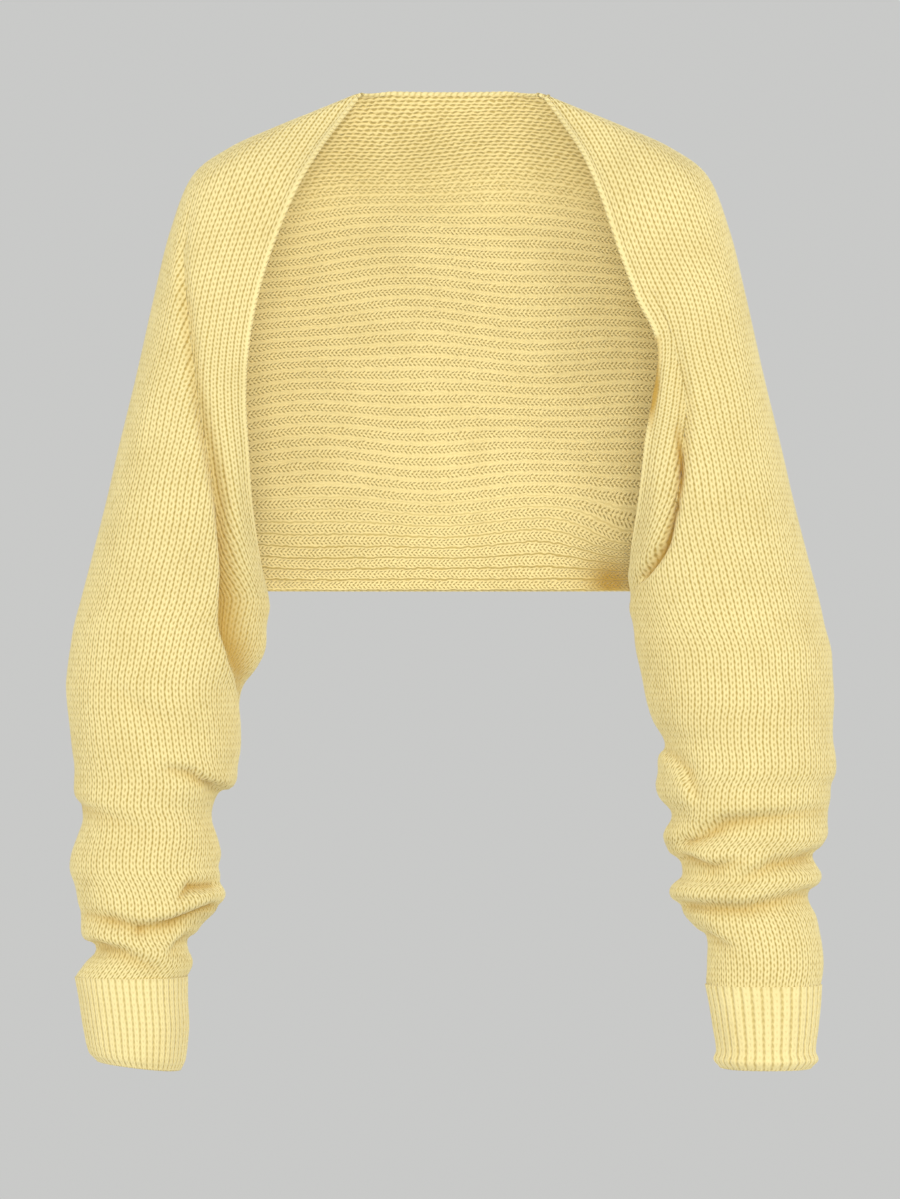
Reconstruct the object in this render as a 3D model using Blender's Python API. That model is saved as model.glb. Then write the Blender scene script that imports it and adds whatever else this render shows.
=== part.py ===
"""Cropped cardigan: an open, buttonless knitted shrug in pale yellow, worn shape with no wearer.

Metres, +Z up, front towards -Y. The origin is the middle of the back neck edge, where the wearer
holds the garment up. The tables are in millimetres and in the maker's words:
out is the distance from the middle of the body, drop the distance below the back neck edge,
and deep the place from front (negative) to back (positive).
"""
import math
from collections import namedtuple

import bmesh
import bpy
from mathutils import Vector

MM = 0.001
CLOTH = 3.0
CUFF_CLOTH = 3.2
SEAM_GAP = 0.4
CORNER_GAP = 1.4
NECK_CORNER = 40.0
HEM_CORNER = 340.0
CUFF_GAP = 0.3
HEM_DROP = 386.0

# Back panel: ribs across, raised on the outside only
RIBS = 44
RIB_HEIGHT = 1.3
INNER_STEP = 4
BACK_COLUMNS = 10
BACK_CURVE = 2.4
ARCH = 3.0

# Sleeve grid: columns from the front edge to the band's crease, on to the outside, and behind,
# drawn together at the crease, and the distance between rows
BAND_COLUMNS = 6
FRONT_COLUMNS = 9
REAR_COLUMNS = 8
DRAWN_TOGETHER = 1.35
CREASE_HALF = 9.0
ROW_STEP_TOP = 22.0
ROW_STEP_ARM = 18.0
ROW_STEP_FOLDS = 8.6
FOLDS_START = 525.0

# Cuffs: the number of ribs round each, and how far they stand out, in millimetres
RIGHT_RIBS = 40
RIGHT_RIB_HEIGHT = 0.8
LEFT_RIBS = 34
LEFT_RIB_HEIGHT = 1.2
CUFF_INNER_STEP = 3

YELLOW = (0.83, 0.69, 0.30, 1.0)

# The middle of the back, from neck to hem
BackLevel = namedtuple("BackLevel", "drop deep")
BACK_LEVELS = (
    BackLevel(0, 0),
    BackLevel(60, 17),
    BackLevel(150, 31),
    BackLevel(250, 34),
    BackLevel(386, 28),
)

# Upper sections of a sleeve: outer fold line, back seam, and how far the cloth goes forward and back
Shoulder = namedtuple("Shoulder", "outer_out outer_deep outer_drop seam_out seam_deep seam_drop front back")
SHOULDERS = (
    Shoulder(74, -28, 1.5, 71, -22, 0, -31, -25),
    Shoulder(101, -33, 13, 90, -20, 12, -45, -27),
    Shoulder(137, -37, 28, 113, -14, 38, -58, -24),
    Shoulder(171, -41, 44, 137, -2, 74, -74, -18),
    Shoulder(199, -44, 66, 156, 14, 115, -86, -4),
    Shoulder(216, -42, 108, 168, 26, 160, -92, 16),
    Shoulder(228, -37, 155, 175, 34, 205, -94, 31),
    Shoulder(243, -31, 220, 177, 38, 248, -92, 41),
    Shoulder(257, -26, 276, 174, 38, 288, -88, 45),
    Shoulder(267, -21, 318, 166, 33, 326, -84, 46),
    Shoulder(278, -17, 360, 153, 21, 362, -79, 46),
)

# Front edge of each side, one row for each upper section, with the crease beside the front band:
# its place in keys from the edge, from 0 to 4, and its depth
Edge = namedtuple("Edge", "out deep drop crease crease_depth")
RIGHT_EDGE = (
    Edge(73.6, -33, 4, 2.6, 0),
    Edge(88, -50, 25, 2.7, 0),
    Edge(102, -66, 46, 2.8, 0),
    Edge(119, -82, 77, 2.9, 0),
    Edge(136, -92, 120, 3.0, 0),
    Edge(148, -96, 160, 2.95, 3),
    Edge(155, -93, 200, 2.45, 8),
    Edge(157, -86, 240, 1.85, 12),
    Edge(155, -75, 280, 1.45, 15),
    Edge(152.5, -58, 320, 1.2, 17),
    Edge(147, -30, 362, 1.12, 19),
)
LEFT_EDGE = (
    Edge(76, -33, 4, 1.6, 0),
    Edge(90, -51, 26, 1.5, 0),
    Edge(104, -67, 50, 1.4, 0),
    Edge(117, -83, 83, 1.2, 0),
    Edge(130, -93, 124, 1.1, 0),
    Edge(144, -96, 162, 1.0, 0),
    Edge(159, -92, 196, 1.0, 4),
    Edge(155, -87, 239, 1.4, 14),
    Edge(147, -76, 274, 1.35, 17),
    Edge(142, -58, 316, 1.2, 17),
    Edge(139, -30, 358, 1.0, 14),
)

# Closed sections of a sleeve, from the hem corner down to the cuff; tilt is how far the outside
# stands higher than the inner side
Ring = namedtuple(
    "Ring", "drop inner outer front back crease crease_depth tilt", defaults=(1.5, 0, 0))
RIGHT_RINGS = (
    Ring(394, 141, 287, -76, 45, 1.05, 20),
    Ring(413, 143, 292, -78, 44, 0.88, 17),
    Ring(432, 144, 295, -80, 42, 0.7, 14),
    Ring(447, 151, 297, -81, 40, 0.85, 9),
    Ring(460, 160, 298, -82, 38, 1.0, 4),
    Ring(474, 163, 297, -83, 36, 1.1, 0),
    Ring(490, 163, 295, -83, 33),
    Ring(508, 163, 293, -83, 30),
    Ring(521, 165, 291, -83, 27),
    Ring(534, 167, 290, -82, 24),
    Ring(543, 176, 290, -82, 22),
    Ring(553, 184, 290, -82, 20),
    Ring(565, 185, 287, -82, 18),
    Ring(577, 181, 289, -82, 15),
    Ring(590, 178, 293, -82, 12),
    Ring(602, 180, 294, -83, 9),
    Ring(614, 178, 290, -83, 6),
    Ring(626, 174, 287, -84, 3),
    Ring(636, 178, 287, -85, -2),
    Ring(646, 191, 285, -85, -7),
    Ring(655, 198, 282, -86, -11),
    Ring(664, 201, 278, -86, -14),
    Ring(674, 199, 282, -87, -17),
    Ring(684, 203, 289, -87, -20),
)
LEFT_RINGS = (
    Ring(394, 139, 287, -76, 45, 0.8, 5),
    Ring(413, 143, 291, -78, 44, 0.9, 2),
    Ring(432, 145, 296, -80, 42, 1.0, 0),
    Ring(450, 149, 297, -81, 40, 1.1, 0),
    Ring(471, 153, 298, -83, 37, 1.3, 0),
    Ring(487, 158, 297, -83, 34),
    Ring(502, 166, 297, -83, 31),
    Ring(515, 163, 299, -83, 29),
    Ring(527, 162, 299, -83, 26),
    Ring(537, 160, 295, -82, 24),
    Ring(547, 163, 294, -82, 21),
    Ring(557, 172, 294, -82, 19),
    Ring(566, 173, 293, -82, 17),
    Ring(576, 167, 292, -82, 15),
    Ring(586, 169, 285, -82, 13),
    Ring(597, 174, 285, -83, 10),
    Ring(608, 179, 287, -83, 8),
    Ring(618, 172, 281, -84, 5),
    Ring(628, 174, 280, -84, 2),
    Ring(638, 178, 283, -85, -2),
    Ring(648, 191, 285, -85, -7),
    Ring(660, 198, 287, -86, -12),
    Ring(675, 199, 288, -86, -16),
    Ring(690, 198, 286, -87, -20),
)
RIGHT_CUFF = (
    Ring(684, 203, 289, -87, -20),
    Ring(700, 203, 286, -88, -22, tilt=1),
    Ring(722, 202, 283, -88, -24, tilt=3),
    Ring(740, 203.5, 280, -87, -25, tilt=5),
    Ring(749, 205, 277.5, -86, -26, tilt=6.5),
    Ring(755.5, 208, 272, -83, -29, tilt=7.5),
)
LEFT_CUFF = (
    Ring(690, 198, 286, -87, -20),
    Ring(705, 201, 285, -88, -22),
    Ring(724, 204, 283, -88, -24),
    Ring(741, 206.5, 281, -87, -25),
    Ring(748, 204.5, 283, -89, -24),
    Ring(753.5, 209, 278, -85, -28),
)

# Folds: a trough through three places on the front or back face, with its depth at each
Fold = namedtuple(
    "Fold", "face from_out from_drop via_out via_drop to_out to_drop deep_from deep_via deep_to half")
RIGHT_FOLDS = (
    Fold("front", 214, 523, 199, 526, 181, 538, 3, 6, 8, 7),
    Fold("front", 289, 553, 262, 560, 225, 575, 5, 2, 1, 12),
    Fold("front", 208, 621, 200, 612, 184, 612, 2, 6, 4, 5),
    Fold("front", 282, 634, 259, 638, 238, 644, 3, 6, 8, 8),
    Fold("front", 238, 644, 212, 641, 181, 629, 8, 8, 7, 8),
    Fold("front", 273, 659, 250, 663, 226, 675, 9, 6, 3, 8),
    Fold("front", 203, 655, 208, 658, 214, 664, 6, 5, 2, 6),
    Fold("back", 172, 545, 230, 560, 290, 552, 5, 4, 4, 11),
    Fold("back", 185, 596, 235, 602, 284, 590, 2, 5, 1, 10),
    Fold("back", 186, 642, 235, 644, 282, 634, 7, 6, 5, 9),
    Fold("back", 200, 660, 240, 668, 274, 659, 3, 4, 8, 8),
    Fold("back", 150, 400, 185, 440, 210, 470, 5, 7, 1, 14),
)
LEFT_FOLDS = (
    Fold("front", 168, 511, 181, 525, 188, 543, 3, 5, 3, 7),
    Fold("front", 181, 578, 212, 563, 286, 555, 9, 8, 3, 9),
    Fold("front", 180, 594, 200, 599, 226, 592, 8, 7, 1, 8),
    Fold("front", 224, 607, 248, 595, 278, 590, 2, 7, 8, 8),
    Fold("front", 181, 629, 226, 629, 275, 619, 8, 8, 5, 9),
    Fold("front", 198, 652, 206, 656, 216, 660, 4, 4, 1, 6),
    Fold("back", 172, 563, 225, 570, 290, 560, 8, 4, 4, 10),
    Fold("back", 178, 597, 230, 606, 283, 590, 6, 4, 6, 9),
    Fold("back", 182, 630, 230, 636, 275, 622, 7, 6, 5, 9),
    Fold("back", 160, 520, 200, 530, 250, 526, 4, 3, 1, 12),
    Fold("back", 146, 400, 182, 445, 208, 472, 5, 7, 1, 14),
)


def clear_scene():
    """Take every object out of the scene."""
    for item in list(bpy.data.objects):
        bpy.data.objects.remove(item, do_unlink=True)


def knit_material(name, shade):
    """Matt yellow yarn, a little lighter or darker for each piece."""
    material = bpy.data.materials.new(name)
    material.use_nodes = True
    shader = material.node_tree.nodes["Principled BSDF"]
    shader.inputs["Base Color"].default_value = tuple(part * shade for part in YELLOW[:3]) + (1.0,)
    shader.inputs["Roughness"].default_value = 0.9
    shader.inputs["Metallic"].default_value = 0.0
    return material


def place(side, out, deep, drop):
    """Turn out, deep and drop into a point in millimetres; side is 1 for left and -1 for right."""
    return Vector((side * out, deep, -drop))


def ease(value):
    """Smooth step from 0 to 1."""
    value = min(max(value, 0.0), 1.0)
    return value * value * (3.0 - 2.0 * value)


def curve_at(before, start, end, after, part):
    """A point on a smooth curve between start and end."""
    return 0.5 * (
        2.0 * start
        + (end - before) * part
        + (2.0 * before - 5.0 * start + 4.0 * end - after) * part ** 2
        + (3.0 * start - before - 3.0 * end + after) * part ** 3
    )


def along(rows, position):
    """Value at a position in a list of values, on a smooth curve through them all."""
    index = min(int(position), len(rows) - 2)
    before = rows[index - 1] if index > 0 else 2.0 * rows[0] - rows[1]
    after = rows[index + 2] if index + 2 < len(rows) else 2.0 * rows[-1] - rows[-2]
    return curve_at(before, rows[index], rows[index + 1], after, position - index)


def level_value(levels, drop):
    """Depth of the back's middle at a drop."""
    for low, high in zip(levels, levels[1:]):
        if drop <= high.drop:
            break
    part = (drop - low.drop) / (high.drop - low.drop)
    index = levels.index(low)
    return along([float(level.deep) for level in levels], index + min(part, 1.0))


def corner(end, middle):
    """Key that rounds a section between its end and its foremost or rearmost point."""
    point = end.lerp(middle, 0.3)
    point.y = end.y + (middle.y - end.y) * 0.74
    return point


def section_keys(side, edge, outer, seam, front, back):
    """The nine keys of a section, from the front edge round the outside to the back seam."""
    front_key = outer.lerp(edge, 0.5)
    front_key.y = front
    back_key = outer.lerp(seam, 0.5)
    back_key.y = back
    return [
        edge, corner(edge, front_key), front_key, corner(outer, front_key), outer,
        corner(outer, back_key), back_key, corner(seam, back_key), seam,
    ]


def ring_keys(side, ring):
    """The nine keys of a closed section."""
    middle = 0.5 * (ring.front + ring.back)
    inner = place(side, ring.inner, middle + 6.0, ring.drop)
    outer = place(side, ring.outer, middle, ring.drop - ring.tilt)
    return section_keys(side, inner, outer, inner.copy(), ring.front, ring.back)


def sleeve_keys(side, edges, rings):
    """All sections of a sleeve, from the neck corner to the cuff."""
    keys = []
    for edge, row in zip(edges, SHOULDERS):
        keys.append(section_keys(
            side,
            place(side, edge.out, edge.deep, edge.drop),
            place(side, row.outer_out, row.outer_deep, row.outer_drop),
            place(side, row.seam_out, row.seam_deep, row.seam_drop),
            row.front, row.back))
    return keys + [ring_keys(side, ring) for ring in rings]


def row_positions(keys, closing):
    """Positions of the rows between the sections: close where the forearm folds, wide elsewhere."""
    positions = []
    for index in range(len(keys) - 1):
        drop = -keys[index][4].z
        length = max((keys[index + 1][k] - keys[index][k]).length for k in (0, 4))
        if index < closing:
            step = ROW_STEP_TOP
        elif drop < FOLDS_START - 10.0:
            step = ROW_STEP_ARM
        else:
            step = ROW_STEP_FOLDS
        count = max(1, round(length / step))
        positions += [index + part / count for part in range(count)]
    return positions + [float(len(keys) - 1)]


def column_places(crease):
    """Places of the columns round a section, in keys: 0 front edge, 4 outside, 8 back seam."""
    band = [
        crease * (1.0 - (1.0 - step / BAND_COLUMNS) ** DRAWN_TOGETHER) for step in range(BAND_COLUMNS)]
    front = [
        crease + (4.0 - crease) * (step / FRONT_COLUMNS) ** DRAWN_TOGETHER
        for step in range(FRONT_COLUMNS)]
    rear = [4.0 + 4.0 * step / REAR_COLUMNS for step in range(REAR_COLUMNS + 1)]
    return band + front + rear


def section_points(keys, places, closed_share):
    """Points of one row; closed_share goes from 0, open, to 1, a closed ring."""
    before = (2.0 * keys[0] - keys[1]).lerp(keys[7], closed_share)
    after = (2.0 * keys[8] - keys[7]).lerp(keys[1], closed_share)
    line = [before] + keys + [after]
    points = []
    for position in places:
        span = min(int(position), 7)
        points.append(curve_at(*line[span:span + 4], position - span))
    return points


def crease_depths(row, depth):
    """Depth of the crease beside the front band in each column, by the way along the cloth."""
    ways = [0.0]
    for point, ahead in zip(row, row[1:]):
        ways.append(ways[-1] + (ahead - point).length)
    middle = ways[BAND_COLUMNS]
    return [depth * math.exp(-((way - middle) / CREASE_HALF) ** 2) for way in ways]


def fold_depth(fold, out, drop):
    """Depth of one fold at a place: a soft trough round the line through its three places."""
    places = (
        (fold.from_out, fold.from_drop, fold.deep_from),
        (fold.via_out, fold.via_drop, fold.deep_via),
        (fold.to_out, fold.to_drop, fold.deep_to),
    )
    nearest, depth = None, 0.0
    for (out_a, drop_a, deep_a), (out_b, drop_b, deep_b) in zip(places, places[1:]):
        run_out, run_drop = out_b - out_a, drop_b - drop_a
        part = ((out - out_a) * run_out + (drop - drop_a) * run_drop) / (run_out ** 2 + run_drop ** 2)
        part = min(max(part, 0.0), 1.0)
        distance = math.hypot(out - out_a - part * run_out, drop - drop_a - part * run_drop)
        if nearest is None or distance < nearest:
            nearest, depth = distance, deep_a + (deep_b - deep_a) * part
    return depth * math.exp(-(nearest / fold.half) ** 2)


def front_share(position, closed):
    """How much of the front's folds a place round the section takes: all in front, none behind."""
    fade = 1.0 - ease((position - 4.2) / 0.8)
    if closed:
        fade = max(fade, ease((position - 7.2) / 0.8))
    return fade


def normals(rows, closing):
    """Directions square to a grid, by row and column: inwards on the left side, outwards on the right."""
    last = len(rows[0]) - 1
    result = []
    for index, row in enumerate(rows):
        above = rows[max(index - 1, 0)]
        below = rows[min(index + 1, len(rows) - 1)]
        line = []
        for column in range(last + 1):
            ahead, behind = min(column + 1, last), max(column - 1, 0)
            if index >= closing and column in (0, last):
                ahead, behind = 1, last - 1
            across = row[ahead] - row[behind]
            down = below[column] - above[column]
            line.append(across.cross(down).normalized())
        result.append(line)
    return result


def sleeve_walls(side, edges, rings, folds):
    """Outer and inner points of a sleeve, and the row at which it closes to a tube."""
    keys = sleeve_keys(side, edges, rings)
    creases = [float(row.crease) for row in edges + rings]
    crease_deeps = [float(row.crease_depth) for row in edges + rings]
    closing_section = len(SHOULDERS)
    positions = row_positions(keys, closing_section)
    rows, places, deeps = [], [], []
    for position in positions:
        at = [along([section[k] for section in keys], position) for k in range(9)]
        row_places = column_places(along(creases, position))
        row = section_points(at, row_places, ease((position - closing_section + 1.6) / 1.6))
        rows.append(row)
        places.append(row_places)
        deeps.append(crease_depths(row, max(along(crease_deeps, position), 0.0)))
    closing = next(i for i, position in enumerate(positions) if position >= closing_section)
    for row in deeps[closing:]:
        row[-1] = row[0]
    outer = []
    for index, (row, line) in enumerate(zip(rows, normals(rows, closing))):
        shaped = []
        for column, (point, normal) in enumerate(zip(row, line)):
            front = front_share(places[index][column], index >= closing)
            depth = deeps[index][column]
            for fold in folds:
                weight = front if fold.face == "front" else 1.0 - front
                depth += weight * fold_depth(fold, abs(point.x), -point.z)
            shaped.append(point + normal * side * depth)
        outer.append(shaped)
    inner = []
    for row, line in zip(outer, normals(outer, closing)):
        inner.append([point + normal * side * CLOTH for point, normal in zip(row, line)])
    end_drop = rings[-1].drop
    for wall in (outer, inner):
        for point in wall[-1]:
            point.z = -end_drop
    return outer, inner, closing


def add_rows(mesh, rows, closing=None):
    """Vertices of a grid; from the closing row on, the last column is the first one again."""
    made = []
    for index, row in enumerate(rows):
        closed = closing is not None and index >= closing
        line = [mesh.verts.new(point * MM) for point in (row[:-1] if closed else row)]
        if closed:
            line.append(line[0])
        made.append(line)
    return made


def add_skin(mesh, rows):
    """Faces between the rows of a grid."""
    for upper, lower in zip(rows, rows[1:]):
        for column in range(len(upper) - 1):
            mesh.faces.new((upper[column], upper[column + 1], lower[column + 1], lower[column]))


def add_strip(mesh, first, second):
    """Faces between two lines of vertices; a place where the lines meet gets a triangle."""
    for a, b, c, d in zip(first, first[1:], second[1:], second):
        corners = []
        for vertex in (a, b, c, d):
            if vertex not in corners:
                corners.append(vertex)
        if len(corners) > 2:
            mesh.faces.new(corners)


def finish_object(mesh, name, material):
    """Make an object of a closed mesh, with triangles that point outwards."""
    bmesh.ops.triangulate(mesh, faces=mesh.faces[:])
    bmesh.ops.recalc_face_normals(mesh, faces=mesh.faces[:])
    if mesh.calc_volume(signed=True) < 0.0:
        bmesh.ops.reverse_faces(mesh, faces=mesh.faces[:])
    data = bpy.data.meshes.new(name)
    mesh.to_mesh(data)
    mesh.free()
    data.shade_smooth()
    data.set_sharp_from_angle(angle=math.radians(60))
    data.materials.append(material)
    item = bpy.data.objects.new(name, data)
    bpy.context.scene.collection.objects.link(item)
    return item


def build_sleeve(name, walls, shade):
    """A sleeve with its shoulder and front band: a wall that closes to a tube at the hem corner."""
    outer, inner, closing = walls
    mesh = bmesh.new()
    outside = add_rows(mesh, outer, closing)
    inside = add_rows(mesh, inner, closing)
    add_skin(mesh, outside)
    add_skin(mesh, inside)
    for column in (0, -1):
        add_strip(
            mesh,
            [row[column] for row in outside[:closing + 1]],
            [row[column] for row in inside[:closing + 1]])
    add_strip(mesh, outside[0], inside[0])
    add_strip(mesh, outside[-1], inside[-1])
    return finish_object(mesh, name, knit_material(name + "_yarn", shade))


def seam_point(walls, side, drop):
    """Outer and inner edge of the back panel at a drop, just clear of the sleeve's seam edge."""
    outer, inner, _ = walls
    for upper, lower in zip(range(len(outer)), range(1, len(outer))):
        if -outer[lower][-1].z >= drop:
            break
    top, low = outer[upper][-1], outer[lower][-1]
    part = (drop + top.z) / (top.z - low.z)
    ends = ease(1.0 - drop / NECK_CORNER) + ease((drop - HEM_CORNER) / (HEM_DROP - HEM_CORNER))
    shift = Vector((-side * (SEAM_GAP + CORNER_GAP * ends), 0.0, 0.0))
    return top.lerp(low, part) + shift, inner[upper][-1].lerp(inner[lower][-1], part) + shift


def back_row(left, right, drop, rib):
    """Outer and inner points of the back panel across one level."""
    ends = {side: seam_point(walls, side, drop) for side, walls in ((-1, right), (1, left))}
    middle = level_value(BACK_LEVELS, drop)
    arch = ARCH * math.sin(math.pi * min(drop / HEM_DROP, 1.0)) ** 2
    outside, inside = [], []
    for column in range(BACK_COLUMNS + 1):
        across = 2.0 * column / BACK_COLUMNS - 1.0
        side = 1 if across >= 0 else -1
        outer_end, inner_end = ends[side]
        share = abs(across)
        fall = outer_end.y - middle
        slope = side * fall * BACK_CURVE * share ** (BACK_CURVE - 1.0) / abs(outer_end.x)
        facing = Vector((-slope, 1.0, 0.0)).normalized()
        point = Vector((outer_end.x * share, middle + fall * share ** BACK_CURVE, outer_end.z))
        point.z += arch * (1.0 - share ** 2)
        end_weight = ease((share - 0.6) / 0.4)
        wall = (facing * -CLOTH).lerp(inner_end - outer_end, end_weight)
        outside.append(point + facing * rib * (1.0 - ease((share - 0.75) / 0.25)))
        inside.append(point + wall)
    return outside, inside


def build_back(left, right):
    """The back panel: ribs across its outside, a plain inside, and a seam to each sleeve."""
    steps = RIBS * 2
    outside, inside = [], []
    for step in range(steps + 1):
        outer, inner = back_row(left, right, HEM_DROP * step / steps, RIB_HEIGHT * (step % 2))
        outside.append(outer)
        if step % INNER_STEP == 0:
            inside.append(inner)
    mesh = bmesh.new()
    outside = add_rows(mesh, outside)
    inside = add_rows(mesh, inside)
    add_skin(mesh, outside)
    add_skin(mesh, inside)
    add_strip(mesh, outside[0], inside[0])
    add_strip(mesh, outside[-1], inside[-1])
    for column in (0, -1):
        for index in range(len(inside) - 1):
            first = index * INNER_STEP
            top, low = inside[index][column], inside[index + 1][column]
            half = first + INNER_STEP // 2
            for step in range(first, half):
                mesh.faces.new((top, outside[step][column], outside[step + 1][column]))
            mesh.faces.new((top, outside[half][column], low))
            for step in range(half, first + INNER_STEP):
                mesh.faces.new((low, outside[step][column], outside[step + 1][column]))
    return finish_object(mesh, "back", knit_material("back_yarn", 0.95))


def ring_line(side, ring, columns):
    """Evenly spaced points round a closed section."""
    keys = ring_keys(side, ring)
    line = [keys[7]] + keys + [keys[1]]
    points = []
    for column in range(columns):
        position = 8.0 * column / columns
        span = int(position)
        points.append(curve_at(*line[span:span + 4], position - span))
    return points


def build_cuff(name, side, rings, ribs, rib_height, shade):
    """A ribbed cuff: ribs raised outside a plain inside, with a rounded lower edge."""
    columns = ribs * 2
    gap_rings = (rings[0]._replace(drop=rings[0].drop + CUFF_GAP),) + rings[1:]
    outside, inside = [], []
    for index, ring in enumerate(gap_rings):
        line = ring_line(side, ring, columns)
        ahead = line[1:] + line[:1]
        behind = line[-1:] + line[:-1]
        outer, inner = [], []
        for column, point in enumerate(line):
            facing = (ahead[column] - behind[column]).cross(Vector((0, 0, -1))).normalized() * -side
            lift = rib_height * (column % 2)
            outer.append(point + facing * lift)
            inner.append(point - facing * CUFF_CLOTH)
        outside.append(outer + [outer[0]])
        if index in (0, CUFF_INNER_STEP, len(rings) - 1):
            inside.append(inner + [inner[0]])
    mesh = bmesh.new()
    outside = add_rows(mesh, outside, 0)
    inside = add_rows(mesh, inside, 0)
    add_skin(mesh, outside)
    add_skin(mesh, inside)
    add_strip(mesh, outside[0], inside[0])
    add_strip(mesh, outside[-1], inside[-1])
    return finish_object(mesh, name, knit_material(name + "_yarn", shade))


def main():
    """Build the five pieces of the cardigan."""
    clear_scene()
    right = sleeve_walls(-1, RIGHT_EDGE, RIGHT_RINGS, RIGHT_FOLDS)
    left = sleeve_walls(1, LEFT_EDGE, LEFT_RINGS, LEFT_FOLDS)
    build_back(left, right)
    build_sleeve("sleeve_right", right, 1.0)
    build_sleeve("sleeve_left", left, 1.02)
    build_cuff("cuff_right", -1, RIGHT_CUFF, RIGHT_RIBS, RIGHT_RIB_HEIGHT, 0.98)
    build_cuff("cuff_left", 1, LEFT_CUFF, LEFT_RIBS, LEFT_RIB_HEIGHT, 1.0)


main()
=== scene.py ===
"""Looks of the cropped cardigan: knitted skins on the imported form, light and camera.

The tables are in millimetres and in the maker's words: out is the distance from the middle of the
body, drop the distance below the back neck edge, deep the place from front (negative) to back.
"""
from __future__ import annotations

import logging
import math
from dataclasses import dataclass
from enum import Enum
from typing import Any, ClassVar, NamedTuple

import bmesh
import bpy
import numpy as np
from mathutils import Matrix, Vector

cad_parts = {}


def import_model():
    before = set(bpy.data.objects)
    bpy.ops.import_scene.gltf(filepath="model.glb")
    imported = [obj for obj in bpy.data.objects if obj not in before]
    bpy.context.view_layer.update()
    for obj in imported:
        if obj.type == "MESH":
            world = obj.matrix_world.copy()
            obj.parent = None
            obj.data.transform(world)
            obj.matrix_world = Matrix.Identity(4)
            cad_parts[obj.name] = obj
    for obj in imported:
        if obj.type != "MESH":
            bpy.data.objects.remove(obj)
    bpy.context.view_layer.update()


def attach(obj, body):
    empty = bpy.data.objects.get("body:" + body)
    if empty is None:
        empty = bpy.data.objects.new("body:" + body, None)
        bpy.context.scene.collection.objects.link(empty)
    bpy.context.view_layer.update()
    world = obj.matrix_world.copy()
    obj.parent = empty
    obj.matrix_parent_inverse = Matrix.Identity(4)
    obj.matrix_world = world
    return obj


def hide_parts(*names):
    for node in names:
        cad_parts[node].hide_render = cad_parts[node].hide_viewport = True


LOG = logging.getLogger("cardigan")
Array = np.ndarray
MM = 0.001
TURN = 2.0 * math.pi


class Side(Enum):
    """The wearer's sides, with the sign of X."""

    LEFT = 1
    RIGHT = -1


class Slot(Enum):
    """Material slots of the record."""

    KNIT = "knit"
    RIB = "knit_rib"


class Pattern(Enum):
    """Kinds of knitting that a surface shows."""

    STOCKING = "stocking"
    PURL = "purl"
    BACK_INSIDE = "back_inside"
    BACK_OUTSIDE = "back_outside"
    CUFF = "cuff"
    EDGING = "edging"


class Shoulder(NamedTuple):
    """Upper section of a sleeve: outer fold line, back seam, and how far it goes forward and back."""

    outer_out: float
    outer_deep: float
    outer_drop: float
    seam_out: float
    seam_deep: float
    seam_drop: float
    front: float
    back: float


class Edge(NamedTuple):
    """Front edge at one upper section, and the crease beside the front band."""

    out: float
    deep: float
    drop: float
    crease: float
    crease_depth: float


class Ring(NamedTuple):
    """Closed section of a sleeve or cuff."""

    drop: float
    inner: float
    outer: float
    front: float
    back: float
    crease: float = 0.0
    crease_depth: float = 0.0
    tilt: float = 0.0


class Fold(NamedTuple):
    """A trough through three places on the front or back face, with its depth at each."""

    face: str
    from_out: float
    from_drop: float
    via_out: float
    via_drop: float
    to_out: float
    to_drop: float
    deep_from: float
    deep_via: float
    deep_to: float
    half: float
    shade: float = 0.6


class Spot(NamedTuple):
    """A soft spot on the inside of the back panel: its middle, its reach and its strength."""

    out: float
    drop: float
    wide: float
    high: float
    strength: float


class Wave(NamedTuple):
    """A wave by which stitches wander: its lengths across and down, its height and its start."""

    across: float
    down: float
    high: float
    start: float = 0.0


class Lamp(NamedTuple):
    """A large soft light: its place in metres, its watts and its side length in metres."""

    name: str
    place: tuple[float, float, float]
    power: float
    size: float


# Upper sections of both sleeves, from the neck corner down.
SHOULDERS = (
    Shoulder(74, -28, 1.5, 71, -22, 0, -31, -25),
    Shoulder(101, -33, 13, 90, -20, 12, -45, -27),
    Shoulder(137, -37, 28, 113, -14, 38, -58, -24),
    Shoulder(171, -41, 44, 137, -2, 74, -74, -18),
    Shoulder(199, -44, 66, 156, 14, 115, -86, -4),
    Shoulder(216, -42, 108, 168, 26, 160, -92, 16),
    Shoulder(228, -37, 155, 175, 34, 205, -94, 31),
    Shoulder(243, -31, 220, 177, 38, 248, -92, 41),
    Shoulder(257, -26, 276, 174, 38, 288, -88, 45),
    Shoulder(267, -21, 318, 166, 33, 326, -84, 46),
    Shoulder(278, -17, 360, 153, 21, 362, -79, 46),
)
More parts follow.
